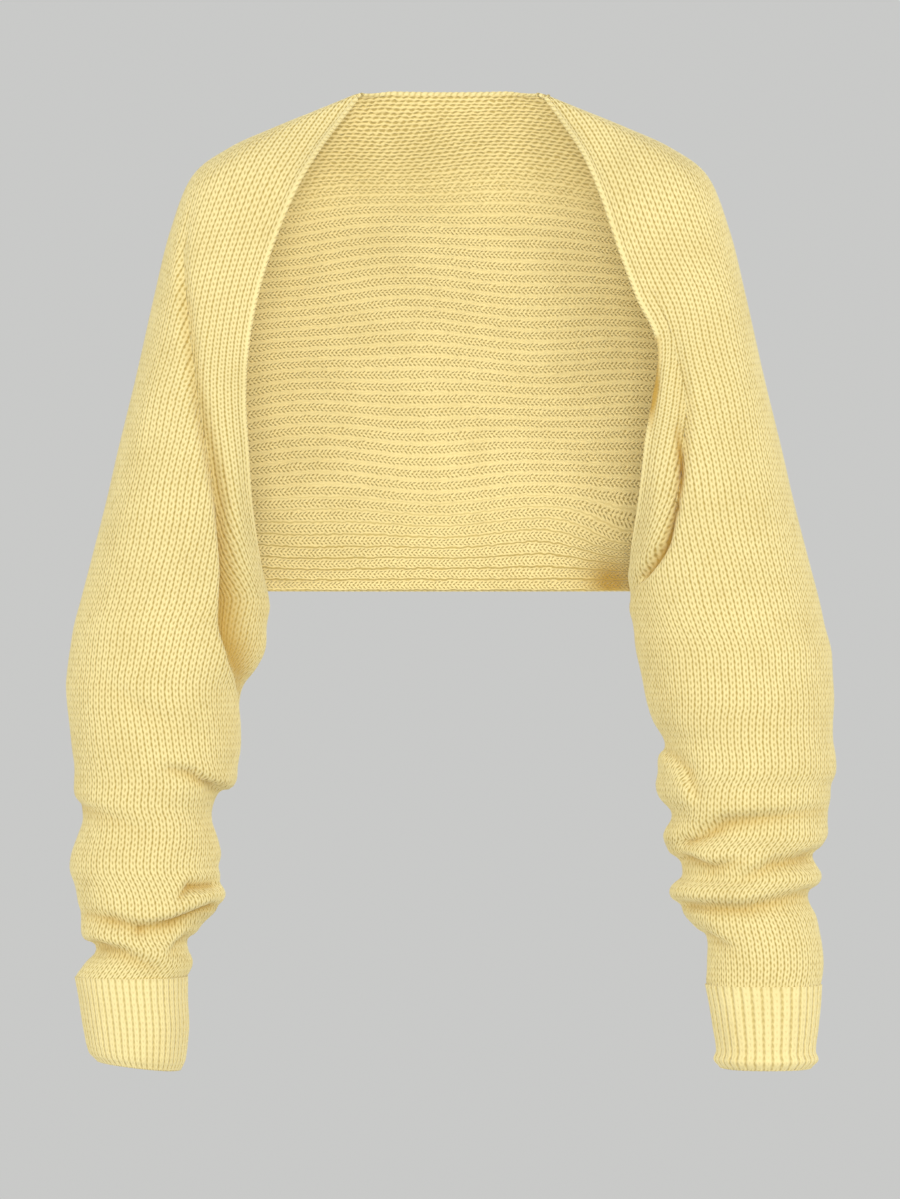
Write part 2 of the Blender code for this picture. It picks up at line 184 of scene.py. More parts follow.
# Front edge and crease at each upper section.
RIGHT_EDGE = (
    Edge(73.6, -33, 4, 2.6, 0),
    Edge(88, -50, 25, 2.7, 0),
    Edge(102, -66, 46, 2.8, 0),
    Edge(119, -82, 77, 2.9, 0),
    Edge(136, -92, 120, 3.0, 0),
    Edge(148, -96, 160, 2.95, 3),
    Edge(155, -93, 200, 2.45, 8),
    Edge(157, -86, 240, 1.85, 12),
    Edge(155, -75, 280, 1.45, 15),
    Edge(152.5, -58, 320, 1.2, 17),
    Edge(147, -30, 362, 1.12, 19),
)
LEFT_EDGE = (
    Edge(76, -33, 4, 1.6, 0),
    Edge(90, -51, 26, 1.5, 0),
    Edge(104, -67, 50, 1.4, 0),
    Edge(117, -83, 83, 1.2, 0),
    Edge(130, -93, 124, 1.1, 0),
    Edge(144, -96, 162, 1.0, 0),
    Edge(159, -92, 196, 1.0, 4),
    Edge(155, -87, 239, 1.4, 14),
    Edge(150, -76, 274, 1.35, 17),
    Edge(145.5, -58, 316, 1.2, 17),
    Edge(140, -30, 358, 1.0, 14),
)
# Closed sections of the sleeves, down to the cuffs.
RIGHT_RINGS = (
    Ring(394, 141, 287, -76, 45, 1.2, 20),
    Ring(413, 143, 292, -78, 44, 1.15, 18),
    Ring(432, 144, 295, -80, 42, 1.0, 15),
    Ring(447, 151, 297, -81, 40, 0.75, 10),
    Ring(460, 160, 298, -82, 38, 0.35, 5),
    Ring(474, 163, 297, -83, 36, 0.05, 2),
    Ring(490, 163, 295, -83, 33),
    Ring(508, 163, 293, -83, 30),
    Ring(521, 165, 291, -83, 27),
    Ring(534, 167, 290, -82, 24),
    Ring(543, 176, 290, -82, 22),
    Ring(553, 184, 290, -82, 20),
    Ring(565, 185, 287, -82, 18),
    Ring(577, 181, 289, -82, 15),
    Ring(590, 178, 293, -82, 12),
    Ring(602, 180, 294, -83, 9),
    Ring(614, 178, 290, -83, 6),
    Ring(626, 174, 287, -84, 3),
    Ring(636, 178, 287, -85, -2),
    Ring(646, 191, 285, -85, -7),
    Ring(655, 198, 282, -86, -11),
    Ring(664, 201, 278, -86, -14),
    Ring(674, 199, 282, -87, -17),
    Ring(684, 203, 289, -87, -20),
)
LEFT_RINGS = (
    Ring(394, 139, 287, -76, 45, 0.1, 3),
    Ring(413, 143, 291, -78, 44),
    Ring(432, 145, 296, -80, 42),
    Ring(450, 149, 297, -81, 40),
    Ring(471, 153, 298, -83, 37),
    Ring(487, 158, 297, -83, 34),
    Ring(502, 166, 297, -83, 31),
    Ring(515, 163, 299, -83, 29),
    Ring(527, 162, 299, -83, 26),
    Ring(537, 160, 295, -82, 24),
    Ring(547, 163, 294, -82, 21),
    Ring(557, 172, 294, -82, 19),
    Ring(566, 173, 293, -82, 17),
    Ring(576, 167, 292, -82, 15),
    Ring(586, 169, 285, -82, 13),
    Ring(597, 174, 285, -83, 10),
    Ring(608, 179, 287, -83, 8),
    Ring(618, 172, 281, -84, 5),
    Ring(628, 174, 280, -84, 2),
    Ring(638, 178, 283, -85, -2),
    Ring(648, 191, 285, -85, -7),
    Ring(660, 198, 287, -86, -12),
    Ring(675, 199, 288, -86, -16),
    Ring(690, 198, 286, -87, -20),
)
# Sections of the cuffs, which start with the sleeve's last.
RIGHT_CUFF = (
    Ring(684, 203, 289, -87, -20),
    Ring(700, 203, 286, -88, -22, tilt=1),
    Ring(722, 202, 283, -88, -24, tilt=3),
    Ring(740, 203.5, 280, -87, -25, tilt=5),
    Ring(749, 205, 277.5, -86, -26, tilt=6.5),
    Ring(755.5, 208, 272, -83, -29, tilt=7.5),
)
LEFT_CUFF = (
    Ring(690, 198, 286, -87, -20),
    Ring(705, 201, 285, -88, -22),
    Ring(724, 204, 283, -88, -24),
    Ring(741, 206.5, 281, -87, -25),
    Ring(748, 204.5, 283, -89, -24),
    Ring(753.5, 209, 278, -85, -28),
)
# Folds that can be seen on the front, and like ones behind.
RIGHT_FOLDS = (
    Fold("front", 272, 452, 240, 474, 204, 494, 1.2, 3, 1.5, 13, 0.3),
    Fold("front", 214, 523, 199, 526, 181, 538, 3, 6, 8, 7),
    Fold("front", 289, 553, 262, 560, 225, 575, 5, 2, 1, 12),
    Fold("front", 208, 621, 200, 612, 184, 612, 2, 7, 5, 5, 1.3),
    Fold("front", 282, 634, 259, 638, 238, 644, 3, 7, 4, 8, 0.8),
    Fold("front", 238, 644, 212, 641, 181, 629, 4, 8, 8, 8, 1.0),
    Fold("front", 273, 659, 250, 663, 226, 675, 9, 6, 3, 8),
    Fold("front", 203, 655, 208, 658, 214, 664, 6, 5, 2, 6),
    Fold("back", 172, 545, 230, 560, 290, 552, 5, 4, 4, 11),
    Fold("back", 185, 596, 235, 602, 284, 590, 2, 5, 1, 10),
    Fold("back", 186, 642, 235, 644, 282, 634, 7, 6, 5, 9),
    Fold("back", 200, 660, 240, 668, 274, 659, 3, 4, 8, 8),
    Fold("back", 150, 400, 185, 440, 210, 470, 5, 7, 1, 14),
)
LEFT_FOLDS = (
    Fold("front", 168, 511, 181, 525, 188, 543, 3, 5, 3, 7),
    Fold("front", 181, 578, 212, 563, 286, 555, 9, 8, 3, 9),
    Fold("front", 180, 594, 200, 599, 226, 592, 8, 7, 1, 8),
    Fold("front", 224, 607, 248, 595, 278, 590, 2, 7, 8, 8),
    Fold("front", 181, 629, 226, 629, 275, 619, 8, 8, 5, 9),
    Fold("front", 198, 652, 206, 656, 216, 660, 4, 4, 1, 6),
    Fold("front", 172, 262, 175, 300, 171, 324, 1, 6, 3.5, 4.5, 2.6),
    Fold("front", 171, 324, 162, 351, 146, 376, 4, 7, 4, 4, 1.8),
    Fold("front", 174, 258, 181, 279, 181, 300, 0.5, 2, 0.5, 2, 1.5),
    Fold("front", 158, 194, 156, 232, 152, 264, 2, 6, 0.6, 4, 2.6),
    Fold("back", 172, 563, 225, 570, 290, 560, 8, 4, 4, 10),
    Fold("back", 178, 597, 230, 606, 283, 590, 6, 4, 6, 9),
    Fold("back", 182, 630, 230, 636, 275, 622, 7, 6, 5, 9),
    Fold("back", 160, 520, 200, 530, 250, 526, 4, 3, 1, 12),
    Fold("back", 146, 400, 182, 445, 208, 472, 5, 7, 1, 14),
)
# Drop, strength and reach of the shade in the crease beside the front band.
CREASE_LOOK = (
    (240, 0.0, 8), (300, 0.25, 9), (350, 0.5, 11), (390, 0.85, 18), (430, 1.0, 28), (450, 1.0, 24),
    (470, 0.1, 12), (480, 0.0, 8),
)
# The painted shade of the hollow at the left hem corner, and the pull of the ribs toward it.
HEM_HOLLOW_SHADE = Spot(126, 379, 18, 16, 1.1)
HEM_PULL = Spot(138, 348, 40, 27, 1.8)
# How the ribs of the back and the wales of the sleeves wander.
BACK_WAVES = (Wave(41, 60, 0.3), Wave(23, -37, 0.18, 1.0))
SLEEVE_WAVES = (Wave(6.1, 5.3, 0.8), Wave(-4.3, 2.9, 0.56))
# Drop and depth down the middle of the back, and drops at which a wale has the gauge's widths.
BACK_LEVELS = ((0, 0), (60, 17), (150, 31), (250, 34), (386, 28))
WALE_DROPS = (380, 520, 640, 690)
LAMPS = (
    Lamp("key_light", (1.1, -3.0, 1.4), 34.0, 1.8),
    Lamp("front_light", (0.0, -6.0, -0.45), 121.0, 2.1),
    Lamp("left_light", (-2.8, -1.6, 0.1), 26.0, 2.2),
    Lamp("right_light", (2.8, -1.3, 0.1), 16.0, 2.2),
    Lamp("rear_light", (0.6, 3.2, 1.2), 64.0, 2.0),
)


@dataclass(frozen=True)
class Gauge:
    """How the yarn is knitted.

    Args:
        wale: Width of one column of stitches on the upper sleeve.
        wale_arm: The same at the elbow.
        wale_wrist: The same at the cuff.
        course: Height of one row of stitches.
        cloth: Thickness of the knitted wall.
        relief: Height of a stitch over the gap beside it.
    """

    wale: float = 5.7
    wale_arm: float = 5.4
    wale_wrist: float = 4.9
    course: float = 4.8
    cloth: float = 3.0
    relief: float = 1.1


@dataclass(frozen=True)
class FoldShape:
    """How a fold rises and falls beside its line, in shares of its half width.

    Args:
        above: Reach on the steep side.
        below: Reach on the slow side.
        lip: Height of the lip over the steep side, as a share of the depth.
        lip_place: Where the lip stands.
        lip_half: Half width of the lip.
        lip_clear: Distance from the line at which the lip is whole.
        shade: Reach of the shade.
        shade_skew: How much further the shade reaches on the slow side.
        full_shade: Depth that has the full shade, in millimetres.
    """

    above: float = 0.45
    below: float = 1.25
    lip: float = 0.3
    lip_place: float = 1.2
    lip_half: float = 0.9
    lip_clear: float = 0.6
    shade: float = 0.45
    shade_skew: float = 0.25
    full_shade: float = 9.0


@dataclass(frozen=True)
class CreaseShape:
    """How the crease beside the front band spreads.

    Args:
        sleeve_reach: Reach on the sleeve's side in millimetres.
        shade_sleeve: Reach of the shade on that side in millimetres.
        shade_band: Reach of the shade on the band's side, as a share of the look's width.
        shade_shift: How far the shade lies toward the band, as a share of that width.
    """

    sleeve_reach: float = 5.0
    shade_sleeve: float = 4.5
    shade_band: float = 0.8
    shade_shift: float = 0.25


@dataclass(frozen=True)
class SewingSizes:
    """Sizes at the edges of the skins.

    Args:
        selvedge: Width of the first stitch beside an open edge that the edging covers, in wales.
        parting: Section below which wales keep their places.
        still: Distance from crease and edges at which wales wander fully, in millimetres.
        side_fade: Distance from an edge in which stitches flatten, in millimetres.
        end_fade: The same at the sleeve's end, in courses.
        taper: Points over which an open chain tapers at its ends.
        link: Height of a link of the chain, as a share of its size.
        turns: Points round the chain.
        reach: Places from an edge by which its direction is found.
        top_step: One place in so many is taken at the neck corner.
        top_link: Length of a link there in millimetres.
    """

    selvedge: float = 0.25
    parting: float = 5.0
    still: float = 25.0
    side_fade: float = 2.5
    end_fade: float = 0.8
    taper: float = 3.0
    link: float = 0.28
    turns: int = 9
    reach: int = 6
    top_step: int = 24
    top_link: float = 5.0


@dataclass(frozen=True)
class SectionShape:
    """How a section's keys round it off.

    Args:
        corner_across: Share of the way across at which a rounding key lies.
        corner_deep: Share of the depth that it has there.
        inner_back: How far a tube's inner line lies behind its middle, in millimetres.
    """

    corner_across: float = 0.3
    corner_deep: float = 0.74
    inner_back: float = 6.0


@dataclass(frozen=True)
class BackRows:
    """Rows on the inside of the back, counted in ribs from the neck edge.

    Args:
        fine: Fine rows for each rib beside the neck.
        fine_until: Rib from which the rows change to ribs.
        fine_fade: Share of that change in each rib.
        hem_from: Rib from which the lines between ribs get deeper.
        hem_fade: Share of that change in each rib.
        bars: Slanted bars for each stitch.
        lean: How far a bar leans.
        dashes: Dashes for each stitch in the fine rows.
        dash_lean: How far a dash leans.
        dash_shift: How far dashes shift from row to row.
    """

    fine: float = 3.0
    fine_until: float = 5.0
    fine_fade: float = 0.14
    hem_from: float = 35.0
    hem_fade: float = 0.15
    bars: float = 1.45
    lean: float = 2.6
    dashes: float = 0.8
    dash_lean: float = 0.4
    dash_shift: float = 0.37


GAUGE = Gauge()
SECTION_SHAPE = SectionShape()
BACK_ROWS = BackRows()
FOLD_SHAPE = FoldShape()
CREASE_SHAPE = CreaseShape()
SEWING = SewingSizes()
LAST_KEY = 8


def spline(rows: Array, positions: Array) -> Array:
    """Values on a smooth curve through a list.

    Args:
        rows: The values, first axis first.
        positions: Places in the list, 0 for its start.

    Returns:
        One value for each position.
    """
    line = np.concatenate([2 * rows[:1] - rows[1:2], rows, 2 * rows[-1:] - rows[-2:-1]])
    index = np.minimum(positions.astype(int), len(rows) - 2)
    part = (positions - index).reshape(-1, *([1] * (rows.ndim - 1)))
    return curve_at(line[index], line[index + 1], line[index + 2], line[index + 3], part)


def curve_at(before: Array, start: Array, end: Array, after: Array, part: Array) -> Array:
    """Points on a smooth curve between start and end.

    Args:
        before: Value before the start.
        start: Value at part 0.
        end: Value at part 1.
        after: Value after the end.
        part: Share of the way.

    Returns:
        The values.
    """
    return 0.5 * (
        2 * start
        + (end - before) * part
        + (2 * before - 5 * start + 4 * end - after) * part ** 2
        + (3 * start - before - 3 * end + after) * part ** 3
    )


def ease(value: Array) -> Array:
    """Smooth step from 0 to 1.

    Args:
        value: Where on the step.

    Returns:
        The step's height.
    """
    value = np.clip(value, 0.0, 1.0)
    return value * value * (3.0 - 2.0 * value)


def ways(points: Array) -> Array:
    """Distance along each row of points from its start.

    Args:
        points: Rows of points.

    Returns:
        Rows of distances.
    """
    steps = np.linalg.norm(np.diff(points, axis=-2), axis=-1)
    start = np.zeros(steps.shape[:-1] + (1,))
    return np.concatenate([start, np.cumsum(steps, axis=-1)], axis=-1)


def unit(vectors: Array) -> Array:
    """Vectors of length one.

    Args:
        vectors: Vectors of any length.

    Returns:
        The same directions.
    """
    return vectors / np.maximum(np.linalg.norm(vectors, axis=-1, keepdims=True), 1e-9)


def take(rows: Array, index: Array) -> Array:
    """Values between the columns of each row.

    Args:
        rows: Rows by columns by parts.
        index: Rows of places between the columns.

    Returns:
        Rows by places by parts.
    """
    low = np.clip(index.astype(int), 0, rows.shape[1] - 2)
    part = (index - low)[..., None]
    line = np.arange(len(rows))[:, None]
    return rows[line, low] * (1 - part) + rows[line, low + 1] * part


def round_section(line: Array, places: Array) -> Array:
    """Points on smooth sections through their keys.

    Args:
        line: Rows of keys, with one more before the first and after the last.
        places: Places round the section, 0 for the first key.

    Returns:
        Rows by places of points.
    """
    span = np.minimum(places.astype(int), LAST_KEY - 1)
    part = (places - span)[None, :, None]
    return curve_at(line[:, span], line[:, span + 1], line[:, span + 2], line[:, span + 3], part)


def wander(waves: tuple[Wave, ...], across: Array, down: Array) -> Array:
    """Sum of some waves.

    Args:
        waves: The waves.
        across: Places across.
        down: Places down.

    Returns:
        How far the stitches lie off at each place.
    """
    return sum(wave.high * np.sin(across / wave.across + down / wave.down + wave.start) for wave in waves)


def spot_at(spot: Spot, away: Array, fall: Array) -> Array:
    """Strength of a soft spot.

    Args:
        spot: Its sizes.
        away: Distances from its middle across.
        fall: Distances from its middle down.

    Returns:
        The strength at each place.
    """
    return spot.strength * np.exp(-((away / spot.wide) ** 2 + (fall / spot.high) ** 2))


def key_corner(end: Array, middle: Array) -> Array:
    """Key that rounds a section between its end and its foremost or rearmost point.

    Args:
        end: The section's end.
        middle: Its foremost or rearmost point.

    Returns:
        The key between them.
    """
    point = end + (middle - end) * SECTION_SHAPE.corner_across
    point[1] = end[1] + (middle[1] - end[1]) * SECTION_SHAPE.corner_deep
    return point


def section_keys(edge: Array, outer: Array, seam: Array, front: float, back: float) -> Array:
    """The nine keys of a section, from the front edge round the outside to the back seam.

    Args:
        edge: Point on the front edge.
        outer: Point on the outside.
        seam: Point on the back seam.
        front: How far the cloth goes forward.
        back: How far it goes back.

    Returns:
        Nine points.
    """
    front_key = 0.5 * (outer + edge)
    front_key[1] = front
    back_key = 0.5 * (outer + seam)
    back_key[1] = back
    return np.array([
        edge, key_corner(edge, front_key), front_key, key_corner(outer, front_key), outer,
        key_corner(outer, back_key), back_key, key_corner(seam, back_key), seam,
    ])


def ring_keys(side: int, ring: Ring) -> Array:
    """The nine keys of a closed section.

    Args:
        side: Sign of X.
        ring: Its sizes.

    Returns:
        Nine points.
    """
    middle = 0.5 * (ring.front + ring.back)
    inner = np.array([side * ring.inner, middle + SECTION_SHAPE.inner_back, -ring.drop])
    outer = np.array([side * ring.outer, middle, ring.tilt - ring.drop])
    return section_keys(inner, outer, inner.copy(), ring.front, ring.back)


class ArrayMaths:
    """The few functions that the knit patterns need, on arrays."""

    def sine(self, value: Array) -> Array:
        """Sine of a value in radians."""
        return np.sin(value)

    def part(self, value: Array) -> Array:
        """What is left over whole numbers."""
        return value - np.floor(value)

    def size(self, value: Array) -> Array:
        """Absolute value."""
        return np.abs(value)

    def least(self, value: Array, other: Any) -> Array:
        """The smaller of two."""
        return np.minimum(value, other)


def bump_at(maths: Any, value: Any, centre: float, half: float) -> Any:
    """A round bump: 1 at the centre, 0 from half away.

    Args:
        maths: Functions for this kind of value.
        value: Where.
        centre: Its middle.
        half: Its half width.

    Returns:
        Height from 0 to 1.
    """
    near = 1.0 - maths.least(maths.size((value - centre) * (1.0 / half)), 1.0)
    return near * near * (3.0 - 2.0 * near)


def ramp(maths: Any, value: Any) -> Any:
    """Straight step from 0 to 1.

    Args:
        maths: Functions for this kind of value.
        value: Where on the step.

    Returns:
        The step's height.
    """
    return (maths.size(value) - maths.size(value - 1.0) + 1.0) * 0.5


def stocking_height(maths: Any, across: Any, along: Any) -> Any:
    """Stocking stitch: two legs for each wale, with gaps between them set like bricks.

    Args:
        maths: Functions for this kind of value.
        across: Place in wales.
        along: Place in courses.

    Returns:
        Height from 0 to 1.
    """
    leg = maths.sine(across * TURN)
    leg = leg * leg
    tilt = maths.size(maths.part(across) * 2.0 - 1.0)
    phase = along - 0.5 + tilt * 0.5
    gap = maths.sine(phase * TURN + 0.5 * math.pi) * 0.5 + 0.5
    return leg * (1.0 - 0.24 * gap) + (1.0 - leg) * (0.62 - 0.26 * tilt - (0.4 - 0.08 * tilt) * gap)


def purl_height(maths: Any, across: Any, along: Any) -> Any:
    """Purl side: rows of short slanted bars.

    Args:
        maths: Functions for this kind of value.
        across: Place in stitches.
        along: Place in rows.

    Returns:
        Height from 0 to 1.
    """
    row = maths.size(maths.sine(along * math.pi))
    slant = maths.part(along) * 0.35
    bar = maths.size(maths.sine((across + slant) * math.pi))
    return row * (0.45 + 0.55 * bar)


def back_height(maths: Any, across: Any, along: Any, bars: float = 1.0) -> Any:
    """Inside of the rib panel: fine rows of dashes by the neck, then ribs between rows of slanted bars.

    Args:
        maths: Functions for this kind of value.
        across: Place in stitches.
        along: Place in ribs.
        bars: How much the single bars show, from 0 to 1.

    Returns:
        Height from 0 to 1.
    """
    sizes = BACK_ROWS
    place = maths.part(along)
    near = maths.least(place, 1.0 - place)
    bar = maths.sine((across * sizes.bars + near * sizes.lean) * TURN) * 0.5 * bars + 0.5
    hem = ramp(maths, (along - sizes.hem_from) * sizes.hem_fade)
    rows = bump_at(maths, near, 0.27, 0.15) + bump_at(maths, near, 0.5, 0.15)
    line = bump_at(maths, near, 0.0, 0.15) * (0.35 + 0.6 * hem) + bump_at(maths, near, 0.14, 0.05) * 0.25
    ribs = 1.0 - line - rows * (0.06 + 1.05 * bar * bar)
    row = maths.part(along * sizes.fine)
    shift = row * sizes.dash_lean + (along * sizes.fine - row) * sizes.dash_shift
    dash = maths.sine((across * sizes.dashes + shift) * TURN) * 0.5 * bars + 0.5
    dashes = 0.82 - bump_at(maths, row, 0.5, 0.45) * (0.3 + 0.7 * dash)
    lower = ramp(maths, (along - sizes.fine_until) * sizes.fine_fade)
    return ribs * lower + dashes * (1.0 - lower)


def rib_height(maths: Any, across: Any, along: Any) -> Any:
    """Outside of a rib: a raised chain of stitches, and a low line between the ribs.

    Args:
        maths: Functions for this kind of value.
        across: Place in ribs, with the raised chain at one half.
        along: Place in courses.

    Returns:
        Height from 0 to 1.
    """
    place = maths.part(across)
    low = bump_at(maths, maths.least(place, 1.0 - place), 0.0, 0.3)
    tilt = maths.size(place * 2.0 - 1.0)
    gap = maths.sine((along + tilt) * TURN) * 0.5 + 0.5
    middle = bump_at(maths, place, 0.5, 0.09)
    return (1.0 - low) * (0.98 - 0.16 * gap) - 0.2 * middle * gap


def cuff_height(maths: Any, across: Any, along: Any) -> Any:
    """Fine rib of a cuff: two columns of small stitches, and a soft line between the ribs.

    Args:
        maths: Functions for this kind of value.
        across: Place in ribs.
        along: Place in courses.

    Returns:
        Height from 0 to 1.
    """
    place = maths.part(across)
    low = bump_at(maths, maths.least(place, 1.0 - place), 0.0, 0.34)
    leg = maths.sine(across * TURN)
    gap = maths.sine((along + maths.size(place * 2.0 - 1.0)) * TURN) * 0.5 + 0.5
    return 1.0 - 0.42 * low - (1.0 - leg * leg) * (0.1 + 0.3 * gap)


def edging_height(maths: Any, across: Any, along: Any) -> Any:
    """Flat chain along an edge.

    Args:
        maths: Functions for this kind of value.
        across: Place over the edge, 0 to 1.
        along: Place in chains.

    Returns:
        Height from 0 to 1.
    """
    link = maths.size(maths.sine((along + across * 0.8) * math.pi))
    return 0.35 + 0.65 * link


HEIGHTS = {
    Pattern.STOCKING: stocking_height,
    Pattern.PURL: purl_height,
    Pattern.BACK_INSIDE: back_height,
    Pattern.BACK_OUTSIDE: rib_height,
    Pattern.CUFF: cuff_height,
    Pattern.EDGING: edging_height,
}
ARRAYS = ArrayMaths()


class Value:
    """A shader socket that sums can be written with."""

    def __init__(self, graph: Graph, socket: bpy.types.NodeSocket) -> None:
        """Keep the output socket and the graph that it is in."""
        self.graph = graph
        self.socket = socket

    def __add__(self, other: Any) -> Value:
        """Value plus other."""
        return self.graph.maths("ADD", self, other)

    def __radd__(self, other: Any) -> Value:
        """Other plus value."""
        return self.graph.maths("ADD", other, self)

    def __sub__(self, other: Any) -> Value:
        """Value minus other."""
        return self.graph.maths("SUBTRACT", self, other)

    def __rsub__(self, other: Any) -> Value:
        """Other minus value."""
        return self.graph.maths("SUBTRACT", other, self)

    def __mul__(self, other: Any) -> Value:
        """Value times other."""
        return self.graph.maths("MULTIPLY", self, other)

    def __rmul__(self, other: Any) -> Value:
        """Other times value."""
        return self.graph.maths("MULTIPLY", other, self)


class Graph:
    """The node tree of one material, and the functions that the knit patterns need in it."""

    def __init__(self, material: bpy.types.Material) -> None:
        """Start an empty node tree.

        Args:
            material: The material that it makes.
        """
        material.use_nodes = True
        self.tree = material.node_tree
        self.tree.nodes.clear()

    def node(self, kind: str, settings: dict[str, Any], inputs: dict[str, Any]) -> bpy.types.Node:
        """Add a node.

        Args:
            kind: Type of the node.
            settings: Its properties.
            inputs: Its inputs, by name or number: values or constants.

        Returns:
            The node.
        """
        made = self.tree.nodes.new(kind)
        for name, value in settings.items():
            setattr(made, name, value)
        for name, value in inputs.items():
            if isinstance(value, Value):
                self.tree.links.new(value.socket, made.inputs[name])
            else:
                made.inputs[name].default_value = value
        return made

    def value(self, kind: str, settings: dict[str, Any], inputs: dict[str, Any], output: Any = 0) -> Value:
        """Add a node and give one of its outputs.

        Args:
            kind: Type of the node.
            settings: Its properties.
            inputs: Its inputs.
            output: Name or number of the output.

        Returns:
            The output as a value.
        """
        return Value(self, self.node(kind, settings, inputs).outputs[output])

    def maths(self, operation: str, *values: Any) -> Value:
        """Add one sum.

        Args:
            operation: Its name.
            values: What goes in.

        Returns:
            The result.
        """
        return self.value("ShaderNodeMath", {"operation": operation}, dict(enumerate(values)))

    def sine(self, value: Value) -> Value:
        """Sine of a value in radians."""
        return self.maths("SINE", value)

    def part(self, value: Value) -> Value:
        """What is left over whole numbers."""
        return self.maths("FRACT", value)

    def size(self, value: Value) -> Value:
        """Absolute value."""
        return self.maths("ABSOLUTE", value)

    def least(self, value: Value, other: Any) -> Value:
        """The smaller of two."""
        return self.maths("MINIMUM", value, other)

    def noise(self, place: Value, scale: float, detail: float) -> Value:
        """Noise round 0.

        Args:
            place: Where it is read.
            scale: How fine it is.
            detail: How rough it is.

        Returns:
            About -0.5 to 0.5.
        """
        inputs = {"Vector": place, "Scale": scale, "Detail": detail}
        return self.value("ShaderNodeTexNoise", {}, inputs) - 0.5

    def blend(self, share: Any, first: Any, second: Any) -> Value:
        """Mix two colours.

        Args:
            share: How much of the second.
            first: First colour.
            second: Second colour.

        Returns:
            The mixed colour.
        """
        return self.value(
            "ShaderNodeMix", {"data_type": "RGBA"}, {0: share, 6: first, 7: second}, 2)


@dataclass(frozen=True)
class Unevenness:
    """How uneven yarn and stitches are. Scales are those of noise on Object coordinates.

    Args:
        wander_scale: Scale at which stitches wander.
        wander_across: How far they wander, in stitches across.
        wander_along: The same along.
        twist: Depth of the yarn's twist.
        fibre_scale: Scale of single fibres.
        fibre_height: How far fibres stand out.
        fibre_colour: How much they change the colour.
        cloud_scale: Scale of large soft patches.
        cloud_colour: How much the patches change the colour.
        tone: How much of the deep colour lies everywhere.
    """

    wander_scale: float = 210.0
    wander_across: float = 0.24
    wander_along: float = 0.3
    twist: float = 0.06
    fibre_scale: float = 1900.0
    fibre_height: float = 0.175
    fibre_colour: float = 0.25
    cloud_scale: float = 26.0
    cloud_colour: float = 0.4
    tone: float = 0.04


STITCH_MAP = "Stitches"
# Attribute on the points that holds the strength of the painted shade of creases, folds and hollows.
CREASE_SHADE_MAP = "CreaseShade"
LIGHT_YELLOW = (0.875, 0.74, 0.35, 1.0)
# The yarn's colour painted paler for the inside of the back: painted light against the shade that falls
# there.
INNER_PAINTED_LIGHT_YELLOW = (0.94, 0.77, 0.345, 1.0)
# Colour of the painted shade in the gaps between stitches, and of the yarn's random darker tone.
GAP_SHADE_AND_TONE_YELLOW = (0.44, 0.30, 0.06, 1.0)
# Colour of the painted shade in creases, folds and hollows.
CREASE_SHADE_YELLOW = (0.52, 0.32, 0.06, 1.0)
SHEEN_CREAM = (1.0, 0.94, 0.72, 1.0)


